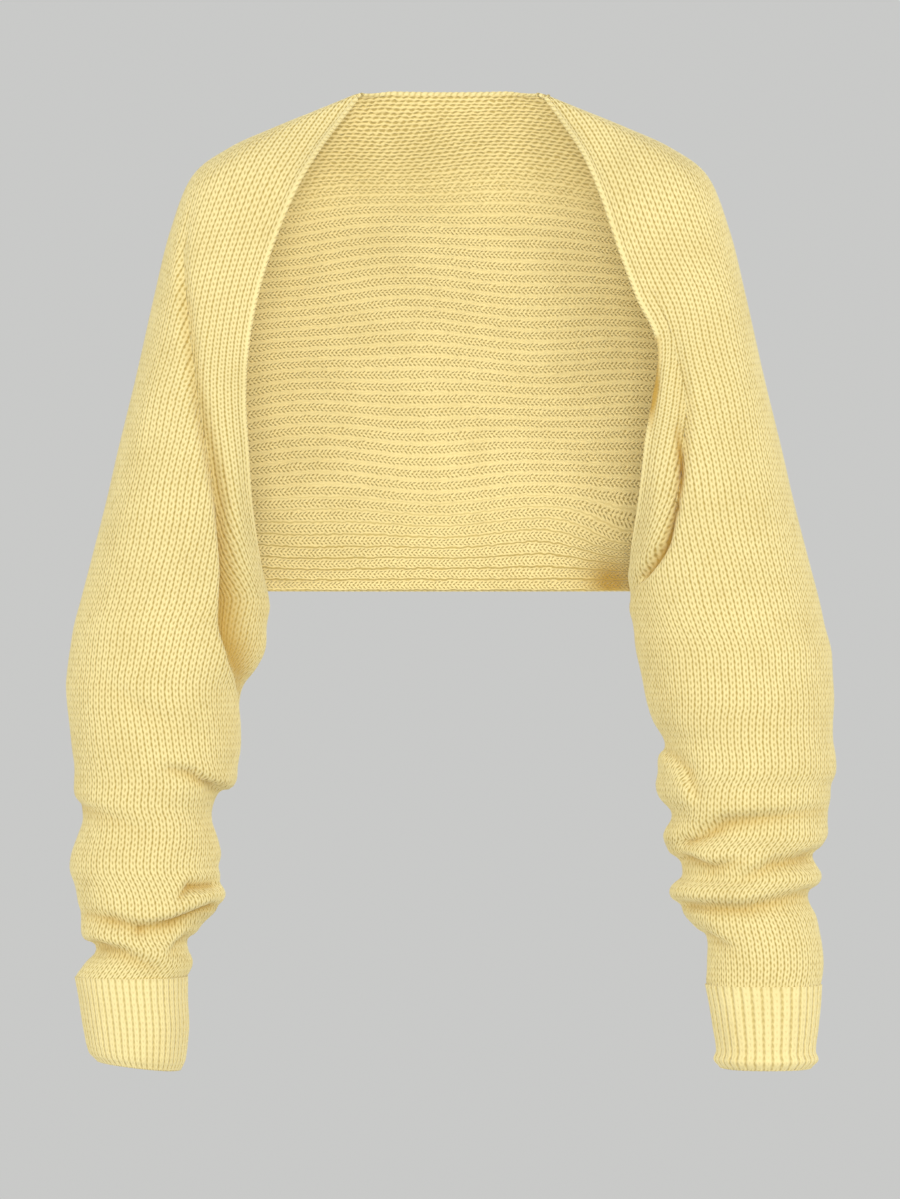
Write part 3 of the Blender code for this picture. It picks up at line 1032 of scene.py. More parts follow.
@dataclass(frozen=True)
class YarnFinish:
    """Soft matt yarn, with painted shade, darker and warmer, in the gaps between the stitches.

    Args:
        name: Name of the material.
        pattern: Kind of knitting.
        light: Colour of the yarn on top.
        deep: Colour of the painted shade down in a gap, and of the yarn's random darker tone.
        relief: Height of the bumps in millimetres.
        level: Height below which a gap takes painted shade.
        gap_shade_strength: How much of the deep colour a gap takes as painted shade.
        gap_shade_slope: How fast a gap takes that painted shade.
        uneven: How uneven the yarn is.
    """

    name: str
    pattern: Pattern
    light: tuple[float, float, float, float] = LIGHT_YELLOW
    deep: tuple[float, float, float, float] = GAP_SHADE_AND_TONE_YELLOW
    relief: float = 0.8
    level: float = 0.6
    gap_shade_strength: float = 0.9
    gap_shade_slope: float = 2.0
    uneven: Unevenness = Unevenness()

    def material(self) -> bpy.types.Material:
        """Make the material.

        Returns:
            A material that reads the piece's own stitch map.
        """
        material = bpy.data.materials.new(self.name)
        graph, uneven = Graph(material), self.uneven
        stitches = graph.value("ShaderNodeUVMap", {"uv_map": STITCH_MAP}, {})
        split = graph.node("ShaderNodeSeparateXYZ", {}, {0: stitches})
        across, along = Value(graph, split.outputs[0]), Value(graph, split.outputs[1])
        place = graph.value("ShaderNodeTexCoord", {}, {}, "Object")
        sway = graph.noise(place, uneven.wander_scale, 1.0)
        height = HEIGHTS[self.pattern](
            graph, across + sway * uneven.wander_across, along + sway * uneven.wander_along)
        twist = graph.sine((across * 2.0 + along * 5.0) * TURN) * uneven.twist
        fibre = graph.noise(place, uneven.fibre_scale, 2.0)
        surface = height + twist * height + fibre * uneven.fibre_height
        clouds = graph.noise(place, uneven.cloud_scale, 2.0)
        # Painted shade: the lower the stitch surface, the more of the deep colour it takes, as shade in the
        # gaps.
        depth = (self.level - height) * self.gap_shade_slope
        gap = graph.value("ShaderNodeClamp", {}, {"Value": depth}) * self.gap_shade_strength
        colour = graph.blend(gap, self.light, self.deep)
        tone = clouds * uneven.cloud_colour + fibre * uneven.fibre_colour + uneven.tone
        shaded = graph.blend(tone, colour, self.deep)
        # Painted shade of creases, folds and hollows, read from the points' attribute.
        crease = graph.value("ShaderNodeAttribute", {"attribute_name": CREASE_SHADE_MAP}, {}, "Fac")
        shaded = graph.blend(crease, shaded, CREASE_SHADE_YELLOW)
        bump = graph.value(
            "ShaderNodeBump", {}, {"Height": surface, "Strength": 1.0, "Distance": self.relief * MM}, 0)
        shader = graph.node("ShaderNodeBsdfPrincipled", {}, {
            "Base Color": shaded, "Roughness": 0.92, "Metallic": 0.0, "Normal": bump,
            "Sheen Weight": 0.5, "Sheen Roughness": 0.45, "Sheen Tint": SHEEN_CREAM,
            "Specular IOR Level": 0.25})
        graph.node("ShaderNodeOutputMaterial", {}, {"Surface": Value(graph, shader.outputs[0])})
        return material


def add_object(name: str, data: bpy.types.ID) -> bpy.types.Object:
    """Put an object into the scene, at the origin.

    Args:
        name: Its name.
        data: Its mesh, light or camera.

    Returns:
        The object.
    """
    item = bpy.data.objects.new(name, data)
    bpy.context.scene.collection.objects.link(item)
    return item


@dataclass
class Skin:
    """One side of a piece of cloth, or its edge: a grid of points in millimetres with its stitch map.

    Points nearer than JOIN become one.

    Args:
        name: Name of the object.
        points: Rows by columns of points.
        across: Place of each point in stitches across.
        along: Place of each point in stitches along.
        outward: A direction out of the surface at each point.
        crease: Strength of the painted shade of creases, folds and hollows at each point, 0 to 1.
    """

    JOIN: ClassVar[float] = 0.002
    name: str
    points: Array
    across: Array
    along: Array
    outward: Array
    crease: Array | None = None

    def build(self, material: bpy.types.Material) -> bpy.types.Object:
        """Make the object.

        Args:
            material: Its finish.

        Returns:
            The object, at the origin.
        """
        rows, columns = self.points.shape[:2]
        mesh = bmesh.new()
        bmesh.ops.create_grid(mesh, x_segments=columns - 1, y_segments=rows - 1, size=1.0)
        data = bpy.data.meshes.new(self.name)
        mesh.to_mesh(data)
        mesh.free()
        flat = np.zeros(len(data.vertices) * 3)
        data.vertices.foreach_get("co", flat)
        grid = flat.reshape(-1, 3)
        column = np.rint((grid[:, 0] + 1) * 0.5 * (columns - 1)).astype(int)
        row = np.rint((grid[:, 1] + 1) * 0.5 * (rows - 1)).astype(int)
        data.vertices.foreach_set("co", (self.points[row, column] * MM).ravel())
        # The crease values are the painted shade of creases, folds and hollows.
        shade = np.zeros(self.across.shape) if self.crease is None else self.crease
        attribute = data.attributes.new(CREASE_SHADE_MAP, "FLOAT", "POINT")
        attribute.data.foreach_set("value", shade[row, column].astype(np.float32))
        corner = np.zeros(len(data.loops), dtype=np.int32)
        data.loops.foreach_get("vertex_index", corner)
        stitches = np.stack([self.across[row, column], self.along[row, column]], axis=-1)[corner]
        layer = data.uv_layers.new(name=STITCH_MAP)
        layer.data.foreach_set("uv", stitches.astype(np.float32).ravel())
        data.update()
        facing = np.zeros(len(data.polygons) * 3)
        data.polygons.foreach_get("normal", facing)
        first = np.zeros(len(data.polygons), dtype=np.int32)
        data.polygons.foreach_get("loop_start", first)
        outward = self.outward[row, column][corner[first]]
        turned = float((facing.reshape(-1, 3) * outward).sum())
        mesh = bmesh.new()
        mesh.from_mesh(data)
        if turned < 0.0:
            bmesh.ops.reverse_faces(mesh, faces=mesh.faces[:])
        bmesh.ops.remove_doubles(mesh, verts=mesh.verts[:], dist=self.JOIN * MM)
        mesh.to_mesh(data)
        mesh.free()
        data.shade_smooth()
        data.materials.append(material)
        LOG.info("%s: %d faces", self.name, len(data.polygons))
        return add_object(self.name, data)


def dress(
        made: list[bpy.types.Object], node: str) -> list[bpy.types.Object]:
    """Attach the pieces of one cloth to the root body, and hide the CAD node.

    Args:
        made: The pieces, with the one that stands for the node first.
        node: Name of the CAD node.

    Returns:
        The pieces.
    """
    for item in made:
        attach(item, "root")
    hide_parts(node)
    return made


def edge_skin(
        name: str, outer: Array, inner: Array, away: Array, along: Array, bulge: float = 1.2,
        closed: bool = False, crease: Array | None = None) -> Skin:
    """A flat chain round an edge of the cloth, from its outside to its inside.

    Args:
        name: Name of the object.
        outer: Points of the outer edge.
        inner: Points of the inner edge.
        away: Directions out of the cloth, past the edge.
        along: Place of each point in chains.
        bulge: How far the edge stands out, in half thicknesses.
        closed: Whether it runs all round; an open one tapers at its ends.
        crease: Strength of the painted shade at each point.

    Returns:
        The skin.
    """
    count = len(outer)
    fine = np.linspace(0, count - 1, (count - 1) * 2 + 1)
    outer, inner, away = spline(outer, fine), spline(inner, fine), spline(away, fine)
    along = spline(along, fine)
    stand = np.full(len(fine), bulge)
    if not closed:
        stand = stand * ease(np.minimum(fine, fine[-1] - fine) / SEWING.taper)
    middle, half = 0.5 * (outer + inner), 0.5 * (outer - inner)
    size = np.linalg.norm(half, axis=-1, keepdims=True)
    away = unit(away - half * (away * half).sum(-1, keepdims=True) / np.maximum(size, 1e-6) ** 2)
    turn = np.linspace(0, math.pi, SEWING.turns)[None, :, None]
    across = np.broadcast_to(turn[..., 0] / math.pi, (len(fine), SEWING.turns))
    rows = np.broadcast_to(along[:, None], across.shape)
    link = edging_height(ARRAYS, across, rows)[..., None]
    round_off = np.sin(turn)
    lift = 1.0 + SEWING.link * (link - 0.5) * round_off
    outward = half[:, None] * np.cos(turn) + (away * size * stand[:, None])[:, None] * round_off
    shade = np.zeros(count) if crease is None else crease
    shade = np.interp(fine, np.arange(count), shade)
    shades = np.broadcast_to(shade[:, None], across.shape).copy()
    return Skin(name, middle[:, None] + outward * lift, across.copy(), rows.copy(), outward, shades)


@dataclass(frozen=True)
class SleeveSizes:
    """Tables of one sleeve.

    Args:
        name: Name of the CAD node.
        side: Which sleeve.
        edge: Its front edge.
        rings: Its closed sections.
        folds: Its folds.
        flat: Width and length of the cut before it was closed, in metres; not used.
        crease_share: Share of the table's depth that the crease beside the band has.
        crease_shade: Strength of the painted shade in that crease.
        area: Area of the cut in square metres; not used.
    """

    name: str
    side: Side
    edge: tuple[Edge, ...]
    rings: tuple[Ring, ...]
    folds: tuple[Fold, ...]
    crease_share: float
    crease_shade: float
    flat: tuple[float, float] = (0.41, 0.78)
    area: float = 0.20


class SleeveForm:
    """Smooth form of a sleeve, by rows of stitches and places round the section.

    A place is counted in keys, from 0 at the front edge to LAST_KEY at the back seam. OUTSIDE is the one
    on the outer fold line. The open part closes over CLOSING sections, and a tube's ends meet over JOINING
    keys. Folds of the front face end at FRONT_UNTIL and start again at FRONT_AGAIN, over FACE_FADE keys.
    """

    PLACES = 481
    OUTSIDE = (PLACES - 1) // 2
    SAMPLES = 6001
    CLOSING = 1.6
    JOINING = 0.6
    FRONT_UNTIL = 4.2
    FRONT_AGAIN = 7.2
    FACE_FADE = 0.8

    def __init__(self, sizes: SleeveSizes) -> None:
        """Work out both walls of the sleeve.

        Args:
            sizes: Its tables.
        """
        self.sizes = sizes
        self.side = sizes.side.value
        keys = self.keys()
        dense = np.linspace(0, len(keys) - 1, self.SAMPLES)
        line = ways(spline(keys[:, 4], dense))
        count = int(round(line[-1] / GAUGE.course * 2))
        self.positions = np.interp(np.linspace(0, line[-1], count + 1), line, dense)
        self.positions[-1] = len(keys) - 1
        self.along = np.arange(count + 1) * 0.5
        self.closed = self.positions >= len(SHOULDERS)
        self.places = np.linspace(0, LAST_KEY, self.PLACES)
        base = self.base(keys)
        self.base_points = base
        self.arcs = ways(base)
        band, band_shade = self.crease_depth()
        folds, fold_shade = self.fold_depth(base)
        self.shade = np.clip(band_shade + fold_shade, 0, 1)
        self.outer = base + self.inward(base) * (band + folds)[..., None]
        self.normal = -self.inward(self.outer)
        self.inner = self.outer - self.normal * GAUGE.cloth
        for wall in (self.outer, self.inner):
            wall[-1, :, 2] = -sizes.rings[-1].drop

    def keys(self) -> Array:
        """Keys of every section.

        Returns:
            Sections by nine points.
        """
        side = self.side
        found = []
        for edge, row in zip(self.sizes.edge, SHOULDERS):
            found.append(section_keys(
                np.array([side * edge.out, edge.deep, -edge.drop], float),
                np.array([side * row.outer_out, row.outer_deep, -row.outer_drop], float),
                np.array([side * row.seam_out, row.seam_deep, -row.seam_drop], float),
                row.front, row.back))
        return np.array(found + [ring_keys(side, ring) for ring in self.sizes.rings])

    def base(self, keys: Array) -> Array:
        """Sections before any fold.

        Args:
            keys: Keys of every section.

        Returns:
            Rows by places of points.
        """
        at = spline(keys, self.positions)
        share = ease((self.positions - len(SHOULDERS)) / self.CLOSING + 1)[:, None]
        before = (2 * at[:, 0] - at[:, 1]) * (1 - share) + at[:, -2] * share
        after = (2 * at[:, -1] - at[:, -2]) * (1 - share) + at[:, 1] * share
        line = np.concatenate([before[:, None], at, after[:, None]], axis=1)
        base = round_section(line, self.places)
        miss = 0.5 * (base[:, -1] - base[:, 0])
        near = ease(1 - self.places / self.JOINING) - ease(1 - (LAST_KEY - self.places) / self.JOINING)
        return base + np.where(self.closed[:, None, None], miss[:, None] * near[None, :, None], 0.0)

    def inward(self, points: Array) -> Array:
        """Directions into the sleeve.

        Args:
            points: Rows by places of points.

        Returns:
            Unit vectors.
        """
        across = np.gradient(points, axis=1)
        wrapped = points[:, 1] - points[:, -2]
        for column in (0, -1):
            across[self.closed, column] = wrapped[self.closed]
        return unit(np.cross(across, np.gradient(points, axis=0))) * self.side

    def crease_depth(self) -> tuple[Array, Array]:
        """Depth of the crease beside the front band.

        Returns:
            Rows by places of depths, and of shades from 0 to 1.
        """
        rows = self.sizes.edge + self.sizes.rings
        deep = spline(np.array([row.crease_depth for row in rows], float), self.positions)
        index = self.crease_index()
        middle = take(self.arcs[..., None], index)[..., 0]
        deep = np.maximum(deep, 0)[:, None] * self.sizes.crease_share
        way = self.arcs - middle
        wrapped = way - self.arcs[:, -1:]
        way = np.where(self.closed[:, None] & (np.abs(wrapped) < np.abs(way)), wrapped, way)
        fall = -take(self.base_points[..., 2:], index)[..., 0]
        drops, strong, wide = np.array(CREASE_LOOK).T
        wide = np.interp(fall, drops, wide)
        strong = np.interp(fall, drops, strong) * self.sizes.crease_shade
        half = np.where(way > 0, CREASE_SHAPE.sleeve_reach, wide)
        core = -CREASE_SHAPE.shade_shift * wide
        reach = np.where(way > core, CREASE_SHAPE.shade_sleeve, CREASE_SHAPE.shade_band * wide)
        shade = strong * np.exp(-(((way - core) / reach) ** 2))
        return deep * np.exp(-((way / half) ** 2)), shade

    def fold_depth(self, points: Array) -> tuple[Array, Array]:
        """Depth of all the folds.

        Args:
            points: Rows by places of points.

        Returns:
            Rows by places of depths, and of shades from 0 to 1.
        """
        out, drop = np.abs(points[..., 0]), -points[..., 2]
        front = 1 - ease((self.places - self.FRONT_UNTIL) / self.FACE_FADE)
        wrapped = np.maximum(front, ease((self.places - self.FRONT_AGAIN) / self.FACE_FADE))
        share = np.where(self.closed[:, None], wrapped[None], front[None])
        total, shades = np.zeros_like(out), np.zeros_like(out)
        for fold in self.sizes.folds:
            weight = share if fold.face == "front" else 1 - share
            depth, shade = trough(fold, out, drop)
            total += weight * depth
            shades += weight * shade
        return total, shades

    def wale_width(self) -> Array:
        """Width of a wale in each row.

        Returns:
            Widths in millimetres.
        """
        drop = -self.outer[:, self.OUTSIDE, 2]
        return np.interp(
            drop, WALE_DROPS, (GAUGE.wale, GAUGE.wale_arm, GAUGE.wale_arm, GAUGE.wale_wrist))

    def crease_index(self) -> Array:
        """Place of the crease beside the front band, in each row.

        Returns:
            Rows by one place, counted through the sleeve's places.
        """
        rows = self.sizes.edge + self.sizes.rings
        crease = spline(np.array([row.crease for row in rows], float), self.positions)
        return np.clip(crease, 0, LAST_KEY)[:, None] / LAST_KEY * (self.PLACES - 1)

    def grid(self, step: float, every: int, wall: Array, lift: float, pattern: Pattern, name: str) -> Skin:
        """Knitted skin on one side of the cloth.

        The wales of the front band run along its edge, and the others along the outside of the sleeve.

        Args:
            step: Distance between columns in wales.
            every: Take one in so many rows.
            wall: Smooth points of that side.
            lift: Height of the stitches; negative on the inside.
            pattern: Kind of knitting.
            name: Name of the object.

        Returns:
            The skin.
        """
        rows = np.unique(np.append(np.arange(0, len(self.arcs), every), len(self.arcs) - 1))
        width, total = self.wale_width()[rows, None], self.arcs[rows, -1:]
        outside = self.arcs[rows, self.OUTSIDE][:, None]
        crease = take(self.arcs[..., None], self.crease_index())[rows, :, 0]
        parting = int(np.argmax(self.positions[rows] >= SEWING.parting))
        middle = outside / width
        middle = np.where(self.positions[rows, None] < SEWING.parting, middle, middle[parting])
        band = np.arange(0, math.ceil((crease / width).max()) + step, step)[None]
        low = (middle - (outside - crease) / width).min()
        high = (middle + (total - outside) / width).max()
        rest = np.arange(math.floor(low), math.ceil(high) + step, step)[None]
        band_way = np.clip(band * width, 0, crease)
        rest_way = np.clip(outside + (rest - middle) * width, crease, total)
        clear = ease(np.minimum(rest_way - crease, total - rest_way) / SEWING.still)
        sway = wander(SLEEVE_WAVES, rest, self.along[rows, None]) * clear
        way = np.concatenate([band_way, rest_way + sway], axis=1)
        edging = np.where(self.closed[rows, None], 0.0, SEWING.selvedge)
        across = np.concatenate([
            np.maximum(band_way / width, edging), middle + (rest_way - outside) / width], axis=1)
        index = np.stack([
            np.interp(line, self.arcs[row], np.arange(self.PLACES)) for line, row in zip(way, rows)])
        points, outward = take(wall[rows], index), take(self.normal[rows], index)
        along = np.broadcast_to(self.along[rows, None], way.shape)
        near = np.minimum(way, total - way)
        fade = ease(near / SEWING.side_fade) * ease((along[-1:] - along) / SEWING.end_fade)
        height = (HEIGHTS[pattern](ARRAYS, across, along) - 0.5) * lift * fade
        crease_shade = take(self.shade[rows][..., None], index)[..., 0]
        return Skin(name, points + unit(outward) * height[..., None], across, along.copy(),
                    outward * math.copysign(1.0, lift), crease_shade)

    def edge(self, place: int, name: str) -> Skin:
        """Chain along the front edge (place 0) or the back seam (place -1) of the open part.

        Args:
            place: First or last place.
            name: Name of the object.

        Returns:
            The skin.
        """
        count = int(np.argmax(self.closed))
        inside = place + (SEWING.reach if place == 0 else -SEWING.reach)
        away = self.outer[:count, place] - self.outer[:count, inside]
        return edge_skin(
            name, self.outer[:count, place], self.inner[:count, place], unit(away),
            self.along[:count], 0.9, crease=self.shade[:count, place])

    def top(self, name: str) -> Skin:
        """Short edge at the neck corner.

        Args:
            name: Name of the object.

        Returns:
            The skin.
        """
        step = slice(None, None, SEWING.top_step)
        away = unit(self.outer[0, step] - self.outer[2, step])
        along = self.arcs[0, step] / SEWING.top_link
        return edge_skin(name, self.outer[0, step], self.inner[0, step], away, along)


def trough(fold: Fold, out: Array, drop: Array) -> tuple[Array, Array]:
    """One fold along the line through its three places: steep under a soft lip, and slow below.

    Args:
        fold: Its places and depths.
        out: Distances from the middle.
        drop: Distances below the neck.

    Returns:
        Depths, and shades from 0 to 1.
    """
    places = (
        (fold.from_out, fold.from_drop, fold.deep_from),
        (fold.via_out, fold.via_drop, fold.deep_via),
        (fold.to_out, fold.to_drop, fold.deep_to),
    )
    upright = abs(fold.to_drop - fold.from_drop) > abs(fold.to_out - fold.from_out)
    nearest = np.full_like(out, 1e9)
    depth, below = np.zeros_like(out), np.zeros_like(out)
    for (out_a, drop_a, deep_a), (out_b, drop_b, deep_b) in zip(places, places[1:]):
        run_out, run_drop = out_b - out_a, drop_b - drop_a
        length = math.hypot(run_out, run_drop)
        part = ((out - out_a) * run_out + (drop - drop_a) * run_drop) / length ** 2
        part = np.clip(part, 0, 1)
        fall = drop - drop_a - part * run_drop
        away = out - out_a - part * run_out
        distance = np.hypot(away, fall)
        turn = math.copysign(1.0, -run_drop if upright else run_out) / length
        beside = (fall * run_out - away * run_drop) * turn / np.maximum(distance, 1e-6)
        closer = distance < nearest
        depth = np.where(closer, deep_a + (deep_b - deep_a) * part, depth)
        below = np.where(closer, beside, below)
        nearest = np.minimum(nearest, distance)
    shape, steps = FOLD_SHAPE, nearest / fold.half
    half = shape.above + (shape.below - shape.above) * (0.5 + 0.5 * below)
    lip = np.exp(-(((steps - shape.lip_place) / shape.lip_half) ** 2))
    lip = shape.lip * np.maximum(-below, 0) * lip * ease(steps / shape.lip_clear)
    shade = np.exp(-((steps / (shape.shade + shape.shade_skew * below)) ** 2))
    shade = np.maximum(depth, 0) / shape.full_shade * shade * fold.shade
    return depth * (np.exp(-((steps / half) ** 2)) - lip), shade


class Sleeve:
    """A sleeve with its shoulder and front band, knitted in one piece."""

    def __init__(self, sizes: SleeveSizes) -> None:
        """Keep the sleeve's tables and work out its form."""
        self.sizes = sizes
        self.form = SleeveForm(sizes)

    def build(self, finishes: Finishes) -> list[bpy.types.Object]:
        """Make the sleeve's skins and edges.

        Args:
            finishes: Finishes of the cardigan.

        Returns:
            The objects, the outside first.
        """
        name, form = self.sizes.name, self.form
        skins = [
            (form.grid(0.25, 1, form.outer, GAUGE.relief, Pattern.STOCKING, name + "_outside"),
             finishes.stocking),
            (form.grid(0.5, 2, form.inner, -0.5, Pattern.PURL, name + "_inside"), finishes.purl),
            (form.edge(0, name + "_front_edge"), finishes.edging),
            (form.edge(-1, name + "_seam_edge"), finishes.edging),
            (form.top(name + "_neck_edge"), finishes.edging),
        ]
        made = [skin.build(material) for skin, material in skins]
        return dress(made, name)


@dataclass(frozen=True)
class BackSizes:
    """Sizes of the back panel.

    Args:
        drop: Distance from the neck edge to the hem.
        ribs: Number of ribs across it.
        rib: Height of a rib outside.
        curve: How the panel bends towards the sleeves.
        arch: How far its ribs rise in the middle.
        seam_gap: Gap to the sleeves.
        corner_gap: Further gap at the neck and hem corners.
        neck_corner: Height of the neck corner.
        hem_corner: Drop at which the hem corner starts.
        rows: Rows of points for each rib.
        relief: Height of the stitches inside.
        inside_from: Share of the way to the seam from which they flatten.
        outside_from: The same for the ribs outside.
        wall_from: Share of the way to the seam from which the wall turns as the sleeve's does.
        wall_until: Drop at which that ends.
        wall_fade: Drop over which it ends.
        still: Distance from neck edge and hem at which ribs wander fully.
        flat: Width and length of the cut in metres; not used.
        area: Area of the cut in square metres; not used.
    """

    drop: float = 386.0
    ribs: int = 44
    rib: float = 1.3
    curve: float = 2.4
    arch: float = 8.0
    seam_gap: float = 0.4
    corner_gap: float = 0.2
    neck_corner: float = 40.0
    hem_corner: float = 340.0
    rows: int = 6
    relief: float = 1.2
    inside_from: float = 0.965
    outside_from: float = 0.75
    wall_from: float = 0.6
    wall_until: float = 360.0
    wall_fade: float = 30.0
    still: float = 40.0
    flat: tuple[float, float] = (0.37, 0.40)
    area: float = 0.142


class BackPanel:
    """The back: one rib panel knitted sideways, sewn to the sleeves."""

    def __init__(self, sizes: BackSizes, left: SleeveForm, right: SleeveForm) -> None:
        """Work out both walls of the panel between the sleeves.

        Args:
            sizes: Its sizes.
            left: Form of the left sleeve.
            right: Form of the right sleeve.
        """
        self.sizes = sizes
        count = sizes.ribs * sizes.rows
        self.drops = np.linspace(0, sizes.drop, count + 1)
        self.ends = {Side.LEFT: self.seam(left), Side.RIGHT: self.seam(right)}
        reach = max(np.abs(end[0][:, 0]).max() for end in self.ends.values())
        half = math.ceil(reach / (GAUGE.course / 2))
        self.across = np.arange(-half, half + 1) * 0.5
        self.outer, self.inner, self.facing, self.share = self.walls()

    def seam(self, form: SleeveForm) -> tuple[Array, Array]:
        """Outer and inner edge of the panel beside a sleeve.

        Args:
            form: The sleeve's form.

        Returns:
            Outer and inner points at each drop.
        """
        sizes = self.sizes
        count = int(np.argmax(form.closed)) + 1
        fall = np.maximum.accumulate(-form.outer[:count, -1, 2])
        corner = ease(1 - self.drops / sizes.neck_corner)
        corner = corner + ease((self.drops - sizes.hem_corner) / (sizes.drop - sizes.hem_corner))
        shift = np.zeros((len(self.drops), 3))
        shift[:, 0] = -form.side * (sizes.seam_gap + sizes.corner_gap * corner)
        found = []
        for wall in (form.outer, form.inner):
            line = [np.interp(self.drops, fall, wall[:count, -1, axis]) for axis in range(3)]
            found.append(np.stack(line, axis=-1) + shift)
        return found[0], found[1]

    def walls(self) -> tuple[Array, Array, Array, Array]:
        """Smooth points of both sides of the panel.

        Returns:
            Outer points, inner points, directions out of the back, and shares of the way to the seam.
        """
        sizes = self.sizes
        drops = self.drops[:, None]
        levels = np.array(BACK_LEVELS, float)
        middle = spline(levels[:, 1], np.interp(self.drops, levels[:, 0], np.arange(len(levels))))[:, None]
        across = self.across[None] * GAUGE.course
        left = across >= 0
        outer_end, inner_end = (
            np.where(left[..., None], end_left[:, None], end_right[:, None])
            for end_left, end_right in zip(self.ends[Side.LEFT], self.ends[Side.RIGHT]))
        reach = np.abs(outer_end[..., 0])
        share = np.clip(np.abs(across) / reach, 0, 1)
        side = np.where(left, 1.0, -1.0)
        fall = outer_end[..., 1] - middle
        slope = side * fall * sizes.curve * share ** (sizes.curve - 1) / reach
        facing = unit(np.stack([-slope, np.ones_like(slope), np.zeros_like(slope)], axis=-1))
        arch = sizes.arch * np.sin(math.pi * drops / sizes.drop) ** 2
        outer = np.stack([
            side * share * reach,
            middle + fall * share ** sizes.curve,
            -drops + arch * (1 - share ** 2),
        ], axis=-1)
        weight = ease((share - sizes.wall_from) / (1 - sizes.wall_from))
        weight = (weight * ease((sizes.wall_until - drops) / sizes.wall_fade))[..., None]
        wall = facing * -GAUGE.cloth * (1 - weight) + (inner_end - outer_end) * weight
        return outer, outer + wall, facing, share

    def skin(self, pattern: Pattern, name: str) -> Skin:
        """Knitted skin of one side.

        Args:
            pattern: Kind of knitting, which says the side too.
            name: Name of the object.

        Returns:
            The skin.
        """
        sizes = self.sizes
        along = np.broadcast_to(self.drops[:, None] / sizes.drop * sizes.ribs, self.share.shape)
        out, drops = self.inner[..., 0], self.drops[:, None]
        across = np.sign(self.across)[None] * np.minimum(
            np.abs(self.across)[None], np.abs(self.outer[..., 0]) / GAUGE.course)
        flat_from = sizes.outside_from if pattern is Pattern.BACK_OUTSIDE else sizes.inside_from
        fade = 1 - ease((self.share - flat_from) / (1 - flat_from))
        if pattern is Pattern.BACK_OUTSIDE:
            height = rib_height(ARRAYS, along, across) * sizes.rib * fade
            points = self.outer + self.facing * height[..., None]
            return Skin(name, points, along.copy(), across, self.facing)
        clear = ease(drops / sizes.still) * ease((sizes.drop - drops) / sizes.still)
        pull = spot_at(HEM_PULL, np.minimum(out - HEM_PULL.out, 0), drops - HEM_PULL.drop)
        along = along + (wander(BACK_WAVES, out, drops) - pull) * clear
        height = (back_height(ARRAYS, across, along, 0.0) - 0.5) * sizes.relief * fade
        points = self.inner - self.facing * height[..., None]
        # Painted shade of the hollow at the left hem corner, given as colour on the points.
        shade = spot_at(HEM_HOLLOW_SHADE, out - HEM_HOLLOW_SHADE.out, -self.inner[..., 2] - HEM_HOLLOW_SHADE.drop)
        return Skin(name, points, across, along.copy(), -self.facing, shade)

    def edges(self) -> list[Skin]:
        """Chains round all four edges of the panel.

        Returns:
            The skins.
        """
        found = []
        for row, inside, name, bulge in ((0, 3, "back_neck_edge", 1.9), (-1, -4, "back_hem_edge", 0.5)):
            away = unit(self.outer[row] - self.outer[inside])
            found.append(edge_skin(
                name, self.outer[row, ::2], self.inner[row, ::2], away[::2], self.across[::2], bulge))
        for column, name in ((0, "back_right_seam"), (-1, "back_left_seam")):
            away = np.zeros((len(self.drops), 3))
            away[:, 0] = 1.0 if column else -1.0
            found.append(edge_skin(
                name, self.outer[::3, column], self.inner[::3, column], away[::3],
                self.drops[::3] / GAUGE.course))
        return found

    def build(self, finishes: Finishes) -> list[bpy.types.Object]:
        """Make the panel's skins and edges.

        Args:
            finishes: Finishes of the cardigan.

        Returns:
            The objects, the inside first.
        """
        made = [
            self.skin(Pattern.BACK_INSIDE, "back_inside").build(finishes.back_inside),
            self.skin(Pattern.BACK_OUTSIDE, "back_outside").build(finishes.back_outside),
        ]
        made += [skin.build(finishes.edging) for skin in self.edges()]
        return dress(made, "back")


@dataclass(frozen=True)
class CuffSizes:
    """Sizes of a cuff.

    Args:
        name: Name of the CAD node.
        side: Which cuff.
        rings: Its sections.
        ribs: Number of ribs.
        rib: Height of a rib.
        cloth: Thickness of the wall.
        gap: Gap to the sleeve.
        flat: Width and length of the cut in metres; not used.
    """

    name: str
    side: Side
    rings: tuple[Ring, ...]
    ribs: int
    rib: float
    cloth: float = 3.2
    gap: float = 0.0
    flat: tuple[float, float] = (0.235, 0.072)


